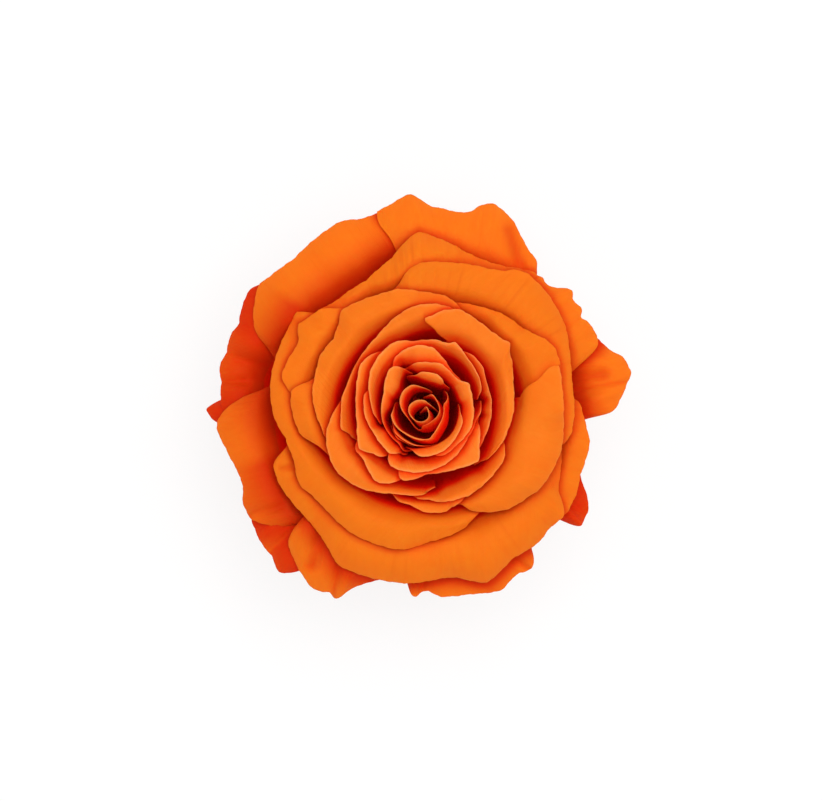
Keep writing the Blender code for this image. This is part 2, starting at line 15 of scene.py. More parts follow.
import bpy
import numpy as np
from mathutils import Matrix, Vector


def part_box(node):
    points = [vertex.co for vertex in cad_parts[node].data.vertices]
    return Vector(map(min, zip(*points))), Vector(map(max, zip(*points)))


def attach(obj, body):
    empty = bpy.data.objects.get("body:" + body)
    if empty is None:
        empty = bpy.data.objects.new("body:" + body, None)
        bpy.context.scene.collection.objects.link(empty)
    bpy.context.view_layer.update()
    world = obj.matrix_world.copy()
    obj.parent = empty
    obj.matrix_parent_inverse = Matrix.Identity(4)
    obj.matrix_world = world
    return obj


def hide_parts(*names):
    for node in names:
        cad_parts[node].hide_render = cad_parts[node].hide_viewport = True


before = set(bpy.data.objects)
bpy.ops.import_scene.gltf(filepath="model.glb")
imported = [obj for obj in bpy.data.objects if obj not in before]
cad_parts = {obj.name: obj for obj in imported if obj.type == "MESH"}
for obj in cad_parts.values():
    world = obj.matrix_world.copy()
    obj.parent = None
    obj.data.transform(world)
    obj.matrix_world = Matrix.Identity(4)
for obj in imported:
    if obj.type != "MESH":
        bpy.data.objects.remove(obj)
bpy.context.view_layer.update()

MM = 0.001
# The least length that anything is divided by.
TINY = 1e-9
hip_low, hip_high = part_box("receptacle")
AXIS_X = (hip_low.x + hip_high.x) / 2
AXIS_Y = (hip_low.y + hip_high.y) / 2
print(f"{len(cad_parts)} solids, flower's axis at {AXIS_X:.4f}, {AXIS_Y:.4f} m")

# %% [markdown]
# ## One family of profiles
# In a real rose each petal wraps the ones inside it, so no two of them cross. A petal modelled on
# its own would cut its neighbours sooner or later. So all petals here share one family of curves:
# a wall that rises from the hip and bulges out to a crest, then a margin that leans outward,
# climbs a little as from a cup and bends down. Curves of the family with a larger crest always lie
# outside and below the smaller ones. A petal is then only a crest line and a rim line around the
# axis, as radii at a few angles.
#
# What changes from the heart outward is kept in tables of (radius, value) pairs. Lengths are in
# millimetres and angles in degrees.

# %% The margins of the family
# Height of the rims by crest radius: a dome, with a little hollow in the middle.
CANOPY = (
    (0.0, 40.4), (2.0, 41.2), (3.4, 42.6), (4.4, 43.0), (5.2, 42.8), (6.0, 42.5), (8.0, 41.7),
    (10.0, 41.0), (12.0, 40.2), (14.0, 39.2), (16.0, 37.9), (18.0, 36.2), (20.0, 34.1), (22.0, 31.6),
    (24.0, 28.7), (27.0, 24.0),
)
# The crest lies this much lower, and its margin climbs from there to the rim over this length.
CUP_DEPTH = (
    (0.0, 0.0), (2.0, 0.2), (4.0, 0.7), (6.0, 1.6), (8.0, 2.4), (11.0, 2.8), (13.0, 2.3), (16.0, 2.2),
    (19.0, 3.2), (22.0, 4.2), (26.0, 4.5),
)
CUP_LENGTH = (
    (0.0, 0.5), (4.0, 0.7), (6.0, 1.0), (8.0, 1.3), (11.0, 1.7), (14.0, 1.8), (18.0, 2.4), (22.0, 3.2),
    (26.0, 3.6),
)
# How fast a margin falls, and how fast it bends further down. The inner ones rise.
MARGIN_SLOPE = ((0.0, -0.2), (8.0, -0.15), (12.0, -0.05), (16.0, 0.0), (22.0, 0.0))
MARGIN_DROOP = ((8.0, 0.0), (12.0, 0.012), (16.0, 0.03), (22.0, 0.03))


def at(table, where):
    """Value of a table of (place, value) pairs at one place or many, read linearly between them."""
    places, values = zip(*table)
    return np.interp(where, places, values)


def margin_height(crest, margin):
    """Height at a length s past the crest: canopy - cup * exp(-s / length) - slope * s - droop * s^2."""
    cup = at(CUP_DEPTH, crest) * np.exp(-margin / at(CUP_LENGTH, crest))
    fall = at(MARGIN_SLOPE, crest) * margin + at(MARGIN_DROOP, crest) * margin**2
    return at(CANOPY, crest) - cup - fall


crest_heights = margin_height(np.array([2.0, 8.0, 14.0, 20.0]), 0.0)
print("crests from the heart outward stand", crest_heights.round(1), "mm high")

# %% [markdown]
# ## The heart and the bud
# The heart of a rose is a few narrow petals rolled tightly round each other, and the bud about it
# is five more that still stand upright. They could be bent from planes one by one, but a curve
# read as radii about the flower's axis keeps the winding of the roll. The first line of each petal
# is its crest, where the wall ends, and the second is its rim. Angles run anticlockwise from the
# right, and a petal that winds past a full turn simply goes on counting.

# %% Ten petals of the heart and the bud
HEART_AND_BUD = (
    ("petal_heart_1",
     ((-340, 1.85), (-320, 1.78), (-300, 1.75), (-270, 1.8), (-240, 1.95), (-210, 2.15), (-195, 2.2),
      (-183, 1.95), (-170, 1.68), (-150, 1.5), (-120, 1.28), (-90, 1.15), (-60, 1.05), (-30, 1.0),
      (0, 0.87), (30, 0.87), (60, 1.08), (90, 1.25), (120, 1.35), (140, 1.4)),
     ((-340, 1.9), (-270, 1.85), (-210, 2.2), (-170, 1.7), (-120, 1.3), (0, 0.9), (60, 1.1), (140, 1.2))),
    ("petal_heart_2",
     ((78, 4.0), (95, 4.2), (110, 4.3), (125, 4.15), (140, 3.85), (150, 3.6), (160, 3.3), (170, 2.9),
      (183, 2.4), (201, 2.14), (227, 1.95), (257, 1.75), (286, 1.65), (310, 1.65), (325, 1.75),
      (343, 2.0), (360, 2.3), (368, 2.45), (390, 2.6), (406, 2.74), (424, 3.1), (442, 3.3), (460, 3.35)),
     ((78, 4.05), (95, 4.3), (130, 4.2), (150, 3.7), (170, 3.0), (183, 2.45), (227, 2.0), (286, 1.7),
      (325, 1.8), (368, 2.5), (406, 2.8), (442, 3.35), (460, 3.35))),
    ("petal_heart_3",
     ((-208, 4.8), (-200, 4.7), (-190, 4.55), (-180, 4.4), (-160, 4.2), (-150, 4.05),
      (-140, 3.85), (-130, 3.65), (-110, 3.58), (-90, 3.68), (-80, 3.8), (-72, 3.7), (-62, 3.3),
      (-50, 3.0), (-42, 2.9), (-30, 2.82), (-15, 2.88), (0, 2.97), (18, 3.15), (25, 3.3),
      (30, 3.7), (36, 4.3), (42, 4.75), (52, 4.95)),
     ((-208, 4.85), (-190, 4.6), (-160, 4.3), (-130, 3.8), (-110, 3.8), (-90, 3.85), (-62, 3.4),
      (-30, 2.9), (0, 3.05), (25, 3.4), (36, 4.4), (52, 5.0))),
    ("petal_bud_top",
     ((42, 5.7), (52, 5.35), (58, 5.1), (65, 5.0), (80, 4.97), (90, 5.15), (100, 5.55), (108, 5.95),
      (113, 6.2)),
     ((42, 5.9), (50, 6.2), (55, 6.3), (62, 6.1), (70, 5.95), (80, 5.95), (90, 6.0), (100, 6.12),
      (108, 6.3), (113, 6.3))),
    ("petal_heart_4",
     ((184, 4.85), (190, 4.82), (200, 4.75), (210, 4.65), (225, 4.55), (240, 4.52), (260, 4.65),
      (270, 4.68), (282, 4.5), (292, 4.2)),
     ((184, 4.95), (200, 4.9), (225, 4.75), (240, 4.7), (270, 4.75), (292, 4.2))),
    ("petal_heart_5",
     ((198, 5.17), (210, 5.1), (220, 5.0), (240, 4.92), (254, 4.85)),
     ((198, 5.3), (210, 5.2), (220, 5.15), (240, 5.0), (254, 4.85))),
    ("petal_bud_low",
     ((244, 5.8), (252, 5.6), (258, 5.4), (265, 5.15), (272, 5.05), (290, 5.0), (305, 5.05), (320, 5.2),
      (335, 5.3), (350, 5.35), (360, 5.5), (366, 5.7), (374, 5.8)),
     ((244, 6.6), (252, 6.5), (260, 6.38), (270, 6.3), (280, 6.22), (290, 6.25), (300, 6.2), (310, 6.15),
      (320, 6.0), (340, 5.95), (355, 6.0), (366, 6.1), (374, 5.8))),
    ("petal_bud_left",
     ((103, 6.3), (108, 6.2), (112, 6.0), (118, 5.55), (124, 5.3), (130, 5.15), (140, 5.05),
      (150, 5.05), (160, 5.0), (170, 5.15), (180, 5.5), (190, 5.7), (200, 5.65), (215, 5.5),
      (230, 5.4), (245, 5.35), (256, 5.3)),
     ((103, 7.3), (108, 7.8), (113, 8.0), (120, 8.1), (130, 7.75), (140, 7.0), (150, 6.35), (160, 6.05),
      (180, 5.9), (200, 5.65), (220, 5.5), (240, 5.4), (256, 5.2))),
    ("petal_bud_right",
     ((275, 5.6), (300, 5.6), (330, 5.7), (350, 5.75), (360, 5.8), (370, 5.85), (380, 6.0), (390, 6.1),
      (398, 6.2), (410, 6.15), (422, 6.2), (432, 6.2), (446, 6.15), (456, 6.2), (464, 6.35), (474, 6.6)),
     ((275, 6.8), (285, 7.0), (300, 6.85), (310, 6.75), (320, 6.8), (330, 7.0), (340, 7.3), (350, 7.4),
      (375, 7.5), (385, 7.75), (393, 8.05), (396, 7.6), (400, 7.2), (410, 7.05), (420, 7.35), (428, 7.6),
      (432, 7.6), (440, 7.4), (453, 7.35), (465, 7.6), (474, 7.7))),
    ("petal_bud_upper",
     ((25, 6.9), (40, 6.8), (50, 6.8), (60, 6.55), (70, 6.45), (95, 6.42), (110, 6.7), (135, 7.2)),
     ((25, 6.0), (37, 7.4), (50, 7.25), (60, 7.7), (70, 8.55), (80, 9.5), (90, 9.8), (100, 9.7),
      (115, 9.05), (128, 7.4), (135, 6.5))),
)
print(f"{len(HEART_AND_BUD)} petals in the heart and the bud")

# %% [markdown]
# ## The cup and the ring
# Round the bud twelve petals open like a cup and then lie in a ring. Their rims have corners and
# small tears, and no two are alike. A smooth curve through a few stations would lose that, so the
# pairs stand closer together where a rim has a corner, and far apart where it runs evenly.

# %% Twelve petals of the cup and the ring
CUP_AND_RING = (
    ("petal_cup_top",
     ((14, 8.6), (30, 9.05), (50, 9.5), (60, 9.6), (80, 9.3), (100, 8.9), (120, 8.4), (140, 7.8),
      (160, 7.2), (180, 6.7), (195, 6.5)),
     ((14, 8.0), (20, 9.15), (30, 9.6), (50, 10.25), (57, 10.7), (65, 11.4), (69, 10.7), (80, 10.75),
      (96, 10.4), (110, 11.05), (120, 10.7), (130, 10.2), (140, 9.65), (150, 8.9), (160, 8.1),
      (170, 7.45), (180, 7.0), (195, 6.0))),
    ("petal_cup_left_inner",
     ((146, 7.5), (152, 7.3), (160, 7.15), (166, 7.0), (172, 6.7), (178, 6.4), (185, 6.2), (195, 6.1),
      (210, 6.05), (225, 6.1), (240, 6.15), (250, 6.3)),
     ((146, 7.0), (154, 8.6), (162, 8.8), (185, 8.2), (200, 7.6), (215, 7.4), (230, 7.45), (240, 7.15),
      (250, 6.4))),
    ("petal_cup_low",
     ((222, 6.9), (236, 7.0), (265, 7.0), (280, 6.8), (300, 6.4), (320, 6.2), (345, 6.5), (372, 6.9)),
     ((222, 6.0), (232, 8.6), (240, 8.9), (250, 8.75), (270, 8.5), (285, 8.2), (300, 7.95), (320, 7.6),
      (330, 7.45), (345, 7.7), (360, 8.05), (368, 8.6), (372, 7.4))),
    ("petal_cup_left",
     ((115, 10.3), (130, 10.0), (140, 9.5), (150, 9.0), (170, 8.6), (190, 8.0), (200, 7.6), (215, 7.4),
      (234, 7.5)),
     ((115, 9.0), (125, 10.9), (133, 11.25), (140, 11.4), (146, 11.05), (150, 10.7), (160, 10.1),
      (170, 9.7), (180, 9.5), (190, 9.5), (197, 9.8), (205, 10.2), (210, 10.4), (213, 10.1), (220, 9.0),
      (228, 8.9), (234, 7.0))),
    ("petal_cup_low_outer",
     ((240, 7.5), (270, 7.6), (290, 7.5), (310, 7.2), (330, 7.1), (358, 7.4)),
     ((240, 6.5), (250, 10.2), (258, 9.9), (265, 9.5), (270, 9.0), (275, 8.8), (285, 8.9), (300, 9.35),
      (310, 9.95), (315, 10.3), (319, 10.75), (325, 10.1), (330, 9.5), (337, 9.0), (352, 8.4),
      (358, 7.0))),
    ("petal_cup_right",
     ((310, 8.7), (340, 8.7), (360, 8.8), (380, 9.2), (400, 9.5), (425, 9.8)),
     ((310, 7.0), (325, 9.65), (340, 9.65), (360, 10.0), (385, 10.25), (390, 10.5), (398, 11.05),
      (410, 11.1), (416, 10.7), (425, 9.0))),
    ("petal_cup_lower_left",
     ((195, 9.2), (260, 9.2)),
     ((195, 8.0), (205, 10.7), (209, 11.0), (215, 10.75), (222, 10.95), (228, 11.4), (234, 11.85),
      (239, 11.8), (243, 11.4), (252, 10.2), (260, 8.0))),
    ("petal_ring_right",
     ((315, 11.3), (330, 11.3), (345, 11.0), (360, 11.0), (370, 11.25), (380, 11.5), (390, 11.7),
      (415, 11.7), (424, 11.3), (431, 10.9)),
     ((315, 9.0), (326, 11.4), (335, 12.1), (340, 12.4), (350, 12.7), (360, 13.2), (370, 13.5),
      (380, 14.0), (385, 14.5), (390, 15.0), (395, 15.4), (399, 16.4), (402, 15.8), (410, 15.5),
      (420, 15.65), (430, 16.0), (438, 15.2), (444, 14.2), (448, 13.7))),
    ("petal_ring_top",
     ((60, 13.0), (75, 12.9), (90, 12.4), (107, 11.4), (140, 11.3), (165, 10.9), (180, 10.6),
      (208, 10.2)),
     ((60, 11.0), (70, 15.0), (75, 15.9), (85, 15.9), (95, 15.5), (100, 15.0), (105, 14.5), (112, 13.7),
      (120, 12.9), (130, 12.35), (140, 11.95), (150, 11.65), (160, 11.5), (168, 11.8), (180, 11.7),
      (191, 12.0), (194, 11.1), (198, 10.6), (208, 9.0))),
    ("petal_ring_left",
     ((165, 11.6), (185, 11.2), (200, 10.9), (215, 10.7), (230, 10.9), (262, 11.2), (280, 11.3)),
     ((165, 10.0), (176, 12.4), (183, 13.2), (190, 14.0), (197, 14.5), (205, 14.8), (213, 15.0),
      (220, 14.7), (230, 14.1), (240, 13.2), (247, 12.6), (253, 12.2), (270, 11.8), (280, 10.0))),
    ("petal_ring_low",
     ((255, 11.8), (280, 11.5), (310, 11.5), (330, 11.9), (345, 12.2)),
     ((255, 10.0), (268, 11.9), (273, 12.2), (277, 12.7), (283, 13.2), (295, 13.5), (300, 13.7),
      (320, 13.6), (332, 13.6), (337, 13.0), (345, 11.0))),
    ("petal_ring_low_outer",
     ((240, 12.2), (285, 12.3), (310, 12.6)),
     ((240, 11.0), (252, 12.1), (260, 12.9), (265, 13.5), (270, 14.2), (275, 14.5), (284, 14.7),
      (287, 14.3), (294, 14.0), (302, 13.0), (310, 11.5))),
)
print(f"{len(CUP_AND_RING)} petals in the cup and the ring")

# %% [markdown]
# ## The middle and the fan
# The next ten are the broad petals whose faces make up most of the bloom. Seen from above each one
# is a wide crescent, so its rim line lies several millimetres outside its crest line.

# %% Ten petals of the middle and the fan
MIDDLE_AND_FAN = (
    ("petal_mid_top",
     ((55, 14.8), (80, 14.4), (110, 13.9), (120, 13.7), (140, 13.3), (180, 13.2), (210, 13.3)),
     ((55, 13.0), (66, 15.6), (70, 16.1), (73, 16.7), (78, 17.3), (90, 17.6), (101, 18.3), (110, 18.3),
      (122, 18.7), (128, 19.0), (133, 17.7), (140, 16.75), (150, 17.0), (160, 16.45), (170, 16.15),
      (180, 15.4), (187, 14.8), (193, 14.5), (210, 12.5))),
    ("petal_mid_left",
     ((150, 14.9), (170, 14.6), (185, 14.4), (212, 14.3)),
     ((150, 13.5), (160, 16.0), (164, 16.8), (167, 18.2), (170, 19.2), (175, 19.15), (180, 18.8),
      (185, 18.4), (190, 17.9), (193, 17.1), (197, 15.8), (205, 14.5), (212, 13.0))),
    ("petal_mid_low_right",
     ((280, 13.9), (300, 13.5), (330, 13.3), (345, 13.1), (360, 13.5), (369, 14.2)),
     ((280, 12.5), (290, 13.8), (294, 14.2), (296, 15.6), (300, 16.5), (305, 17.5), (312, 18.7),
      (317, 19.2), (322, 19.6), (327, 20.3), (335, 20.6), (345, 20.9), (359, 20.5), (370, 20.6),
      (379, 21.0))),
    ("petal_mid_right",
     ((-14, 15.0), (20, 15.3), (60, 15.1), (90, 15.0)),
     ((-14, 13.0), (-8, 18.0), (0, 20.0), (10, 20.5), (15, 20.9), (20, 21.3), (26, 21.5), (31, 20.9),
      (33, 20.3), (40, 19.1), (50, 18.6), (60, 17.7), (73, 16.75), (82, 15.4), (90, 13.0))),
    ("petal_fan_upper_right",
     ((-25, 17.2), (0, 17.0), (30, 17.6), (45, 17.6), (60, 17.0), (75, 16.4), (90, 16.0), (115, 16.3)),
     ((-25, 15.8), (-16, 19.5), (-12, 21.2), (-8, 21.9), (0, 22.15), (10, 22.2), (15, 22.5),
      (20, 22.95), (25, 23.55), (30, 24.3), (35, 24.7), (45, 25.3), (53, 25.45), (57, 24.9),
      (60, 23.8), (65, 23.1), (80, 22.2), (90, 21.9), (95, 21.1), (100, 19.0), (108, 17.4),
      (115, 15.0))),
    ("petal_fan_left",
     ((112, 17.2), (130, 16.7), (150, 16.2), (190, 16.1)),
     ((112, 15.5), (122, 18.2), (128, 19.2), (132, 20.5), (135, 21.2), (141, 21.65), (144, 22.2),
      (146, 21.8), (149, 20.9), (151, 20.6), (160, 21.0), (165, 21.1), (167, 20.8), (169, 20.0),
      (172, 19.0), (178, 17.5), (190, 15.0))),
    ("petal_fan_upper",
     ((42, 18.8), (60, 18.6), (80, 18.3), (100, 17.9), (115, 17.7), (145, 18.0)),
     ((42, 17.5), (50, 24.8), (55, 25.6), (60, 24.6), (65, 24.1), (70, 24.05), (75, 24.3), (80, 25.0),
      (85, 25.6), (91, 26.5), (95, 25.3), (98, 24.1), (101, 23.0), (105, 22.2), (113, 20.9),
      (128, 20.55), (136, 21.3), (140, 19.5), (145, 17.0))),
    ("petal_fan_lower_left",
     ((133, 18.9), (150, 18.2), (165, 17.5), (180, 16.8), (197, 15.6), (215, 15.2), (230, 14.6),
      (260, 14.4), (275, 14.6), (290, 15.2), (312, 16.4)),
     ((133, 17.5), (137, 21.0), (141, 23.55), (147, 23.1), (165, 22.65), (172, 22.3), (181, 21.6),
      (185, 21.05), (190, 20.2), (200, 19.8), (208, 20.5), (211, 20.6), (217, 19.9), (225, 19.75),
      (240, 20.2), (260, 20.1), (265, 19.7), (273, 18.7), (285, 18.1), (290, 17.8), (299, 16.6),
      (312, 15.0))),
    ("petal_fan_low",
     ((190, 19.1), (205, 18.7), (220, 18.0), (240, 17.3), (280, 17.0), (320, 17.6), (352, 18.2)),
     ((190, 17.5), (196, 21.0), (198, 22.7), (201, 23.1), (207, 23.25), (213, 23.0), (222, 22.75),
      (228, 22.95), (233, 23.5), (237, 24.3), (241, 25.3), (265, 24.9), (275, 24.3), (279, 24.2),
      (283, 24.6), (286, 25.4), (291, 26.5), (297, 25.6), (302, 24.9), (312, 25.4), (318, 25.0),
      (324, 25.6), (327, 24.5), (330, 22.8), (335, 22.1), (345, 21.0), (352, 17.5))),
    ("petal_fan_low_right",
     ((308, 20.2), (330, 20.0), (350, 19.8), (372, 19.6)),
     ((308, 18.5), (318, 24.0), (325, 25.7), (333, 25.4), (338, 24.8), (350, 24.9), (353, 24.4),
      (358, 23.7), (364, 23.0), (372, 18.5))),
)
print(f"{len(MIDDLE_AND_FAN)} petals in the middle and the fan")

# %% [markdown]
# ## The skirt
# Eleven outer petals lie back below the others and draw the flower's outline, with points, notches
# and one narrow tip. They are listed last, because each petal is placed after all it lies under.

# %% Eleven petals of the skirt
SKIRT = (
    ("petal_outer_bottom_left",
     ((224, 20.4), (235, 20.2), (250, 20.3), (270, 20.6)),
     ((222, 19.0), (222.4, 25.5), (222.8, 26.5), (225, 27.6), (228, 28.2), (231, 28.95), (238, 30.3),
      (241, 29.9), (243, 29.4), (244.5, 30.1), (246, 29.7), (247.2, 28.2), (249, 27.1), (252, 26.1),
      (255, 25.2), (257, 24.9), (265, 24.6), (270, 19.5))),
    ("petal_outer_left_low",
     ((168, 21.6), (185, 21.5), (215, 21.3), (228, 21.4)),
     ((168, 20.0), (174, 25.5), (178, 28.3), (182, 30.0), (185, 30.1), (190, 29.2), (197, 28.3),
      (202, 28.2), (207, 29.4), (212, 29.5), (218, 27.0), (228, 20.0))),
    ("petal_outer_corner",
     ((202, 22.6), (218, 22.5), (243, 22.5)),
     ((202, 21.5), (208, 28.0), (212, 29.5), (219, 30.3), (224, 30.4), (228, 31.5), (231, 30.1),
      (236, 26.5), (243, 21.5))),
    ("petal_outer_upper_right",
     ((13, 20.6), (40, 20.4), (66, 20.5)),
     ((13, 19.5), (18, 25.0), (21, 27.6), (23, 27.9), (27, 27.9), (29.5, 27.5), (31, 27.0), (32, 27.2),
      (32.4, 27.95), (34, 27.8), (37.3, 27.5), (38, 28.0), (39.3, 28.4), (40.5, 28.1), (43, 26.7),
      (45, 26.3), (47, 26.1), (48, 26.6), (49.5, 26.3), (52, 26.2), (58, 25.0), (66, 19.5))),
    ("petal_outer_top",
     ((38, 21.7), (75, 21.4), (95, 21.4)),
     ((38, 20.5), (48, 25.0), (51, 26.6), (53, 28.0), (56, 28.3), (60, 29.4), (65, 31.3), (71, 32.5),
      (74.5, 31.6), (76, 30.3), (80, 29.8), (88, 30.3), (91.5, 31.7), (93.5, 32.2), (98, 31.0),
      (102.5, 30.2))),
    ("petal_outer_upper_left",
     ((88, 22.3), (105, 21.3), (120, 20.8), (140, 20.6), (168, 21.0)),
     ((88, 21.5), (96, 28.0), (102.5, 30.0), (107, 29.7), (113, 30.5), (120, 30.0), (130, 29.3),
      (138, 29.9), (142, 30.4), (147, 29.2), (150, 28.5), (153, 27.5), (155, 26.3), (157, 24.5),
      (160, 22.5), (168, 20.0))),
    ("petal_outer_right",
     ((-12, 21.8), (15, 21.8), (40, 22.0)),
     ((-12, 20.5), (-4, 22.8), (-2, 23.7), (-1, 25.6), (0, 27.6), (1.5, 28.4), (4, 29.1), (8, 30.3),
      (11, 31.3), (16, 30.5), (18, 29.1), (23, 27.9), (30, 25.0), (40, 21.0))),
    ("petal_outer_left_top",
     ((130, 22.4), (160, 22.3), (190, 22.5)),
     ((130, 21.0), (138, 28.0), (142, 30.55), (145, 31.1), (151, 30.4), (154, 29.8), (158, 30.3),
      (163, 30.0), (167, 30.55), (171, 29.8), (178, 29.5), (183, 28.0), (190, 21.5))),
    ("petal_outer_left_tip",
     ((166, 23.8), (178, 23.8), (192, 23.8)),
     ((166, 22.5), (174, 27.0), (177, 30.3), (179, 31.8), (182, 30.7), (184, 28.6), (192, 22.5))),
    ("petal_outer_bottom",
     ((254, 21.6), (290, 21.3), (317, 21.6)),
     ((254, 20.0), (263, 24.0), (265.4, 25.0), (266.4, 26.6), (268, 27.05), (270, 26.1), (272, 25.9),
      (273.5, 26.5), (276, 27.05), (285, 27.4), (290, 28.0), (294, 28.45), (299, 27.5), (301, 27.3),
      (302.5, 27.65), (306, 27.8), (307.6, 26.8), (309, 25.2), (312, 24.0), (317, 20.5))),
    ("petal_outer_low_right",
     ((312, 22.6), (328, 22.6), (344, 22.6)),
     ((312, 21.5), (320, 23.3), (322.2, 25.0), (323.2, 27.4), (324.5, 28.6), (330, 28.2), (332.5, 27.4),
      (337, 25.4), (339, 24.8), (344, 21.5))),
)
PETALS = HEART_AND_BUD + CUP_AND_RING + MIDDLE_AND_FAN + SKIRT
print(f"{len(SKIRT)} petals in the skirt, {len(PETALS)} in all")

# %% [markdown]
# ## Petals that make room for each other
# The lines above were drawn one by one, so some come too near their neighbours. On the flower the
# younger petals are already there when the next one grows, and it has to pass outside them. The
# same happens here: petals are placed from the heart outward, and each crest line is pushed out
# to clear those already placed. Their bases step outward on the hip in the same way. Below its
# crest a wall may close in on the next one inside it, so a second line keeps how near it comes.

# %% Settle the petals
SAMPLES = 181
PLACES = np.linspace(0.0, 1.0, SAMPLES)
# A line that winds about the axis is met again one or two whole turns away.
TURNS = (-720, -360, 0, 360, 720)
# Petals whose crest is nearer the axis than this are the heart's, and thinner.
HEART_END, HEART_THICKNESS, PETAL_THICKNESS = 6.5, 0.18, 0.30
# A claw's share of its petal's width, and the room between one crest line and the next.
CLAW_SHARE = ((0.0, 0.6), (4.0, 0.6), (8.0, 0.4), (14.0, 0.32), (24.0, 0.36))
CREST_ROOM = ((0.0, 0.38), (3.0, 0.40), (5.0, 0.44), (8.0, 0.70), (14.0, 0.95), (24.0, 1.1))
# How far a wall may close in below its crest, and how near it may come to the one inside it.
MOST_CLOSING = (
    (0.0, 0.12), (1.5, 0.3), (3.0, 0.6), (5.0, 0.7), (7.0, 0.7), (12.0, 0.9), (24.0, 1.6),
)
TIGHT_ROOM = ((0.0, 0.30), (5.0, 0.34), (10.0, 0.5), (24.0, 0.7))
# Past its side edges a petal still pushes the others, by this much less with every degree.
SIDE_FADE = 0.08
# Radius of the first base on the hip, room between two bases, and degrees between two free claws.
FIRST_BASE, BASE_ROOM, BASE_CLEARANCE = 0.8, 0.10, 8.0


class Petal:
    """A petal's settled crest line, its rim and its place on the hip."""

    def __init__(self, name, crest, rim):
        self.name = name
        self.start, self.end = crest[0][0], crest[-1][0]
        self.middle = (self.start + self.end) / 2
        self.half_span = (self.end - self.start) / 2
        self.angles = np.linspace(self.start, self.end, SAMPLES)
        self.rim_angles = np.linspace(rim[0][0], rim[-1][0], SAMPLES)
        self.drawn = at(crest, self.angles)
        self.crest = self.drawn.copy()
        self.rim_points = rim
        self.rim = at(rim, self.rim_angles)
        mean = float(self.crest.mean())
        self.claw = at(CLAW_SHARE, mean)
        self.thickness = HEART_THICKNESS if mean < HEART_END else PETAL_THICKNESS
        self.base = FIRST_BASE

    def outermost(self, angles, line):
        """Largest radius of a line of this petal at each angle, fading away past its side edges."""
        best = np.zeros_like(angles)
        for turn in TURNS:
            here = angles + turn
            past = np.maximum(np.maximum(self.start - here, here - self.end), 0.0)
            best = np.maximum(best, np.interp(here, self.angles, line) - SIDE_FADE * past)
        return best

    def settle(self, placed):
        """Crest = the larger of its own radius and a placed crest plus its room, for each one. The
        tight line is the same rule with less room, for the wall below the crest."""
        for other in placed:
            radius = other.outermost(self.angles, other.crest)
            self.crest = np.maximum(self.crest, radius + at(CREST_ROOM, radius))
        self.tight = self.crest - at(MOST_CLOSING, self.crest)
        for other in placed:
            radius = other.outermost(self.angles, other.tight)
            self.tight = np.maximum(self.tight, radius + at(TIGHT_ROOM, radius))
        self.tight = np.minimum(self.tight, self.crest)
        for other in placed:
            apart = abs((self.middle - other.middle + 180) % 360 - 180)
            bases = self.half_span * self.claw + other.half_span * other.claw
            if apart < bases + BASE_CLEARANCE:
                step = (self.thickness + other.thickness) / 2 + BASE_ROOM
                self.base = max(self.base, other.base + step)
            elif apart < self.half_span + other.half_span:
                self.base = max(self.base, other.base)


def settled_petals():
    """All petals in order, each one clear of those before it."""
    placed = []
    for name, crest, rim in PETALS:
        petal = Petal(name, crest, rim)
        petal.settle(placed)
        placed.append(petal)
    return placed


petals = settled_petals()
pushed = [float((petal.crest - petal.drawn).max()) for petal in petals]
print(f"settled {len(petals)} petals, the largest push {max(pushed):.2f} mm")

# %% [markdown]
# ## Room above and below
# A margin may wave and curl only as far as its neighbours leave it free. So at every point of a
# petal's rim the height of each other petal there is worked out from the same family, and the
# nearest ones above and below give its room. Waves and curls below are scaled by it: a rim
# pressed between two others stays calm, and a free one ruffles.

# %% Measure the room round each rim
FREE_ROOM = 4.0
KEPT_LIP = 0.25
# A petal still takes up room this many degrees past its sides and millimetres past its rim.
SIDE_MARGIN, RIM_MARGIN = 4, 0.8
ROOM_BLUR, CREST_BLUR = 3.0, 2.5


def rooms(petal, others):
    """Height free above and below the petal's rim at each sample, up to FREE_ROOM."""
    radius = np.maximum(petal.rim, petal.crest + KEPT_LIP)
    own = margin_height(petal.crest, radius - petal.crest)
    above = np.full(SAMPLES, FREE_ROOM)
    below = np.full(SAMPLES, FREE_ROOM)
    for other in others:
        for turn in TURNS:
            here = petal.rim_angles + turn
            if other is petal and turn == 0:
                continue
            crest = np.interp(here, other.angles, other.crest)
            rim = np.interp(here, other.rim_angles, other.rim)
            beside = (here >= other.start - SIDE_MARGIN) & (here <= other.end + SIDE_MARGIN)
            reached = beside & (radius >= crest) & (radius <= rim + RIM_MARGIN)
            gap = margin_height(crest, np.maximum(radius - crest, 0.0)) - own
            above = np.where(reached & (gap > 0), np.minimum(above, gap), above)
            below = np.where(reached & (gap <= 0), np.minimum(below, -gap), below)
    return above, below


def blurred(values, width):
    """A line of samples averaged with a bell-shaped weight, whose width is in samples."""
    reach = int(3 * width) + 1
    offsets = np.arange(-reach, reach + 1)
    weight = np.exp(-0.5 * (offsets / width) ** 2)
    padded = np.pad(values, reach, mode="edge")
    return np.convolve(padded, weight / weight.sum(), mode="valid")


for petal in petals:
    petal.room_above, petal.room_below = (blurred(room, ROOM_BLUR) for room in rooms(petal, petals))
for petal in petals:
    petal.crest, petal.tight = blurred(petal.crest, CREST_BLUR), blurred(petal.tight, CREST_BLUR)
free = sum(float((petal.room_below > FREE_ROOM / 2).mean()) for petal in petals) / len(petals)
print(f"{100 * free:.0f}% of the rims hang free")

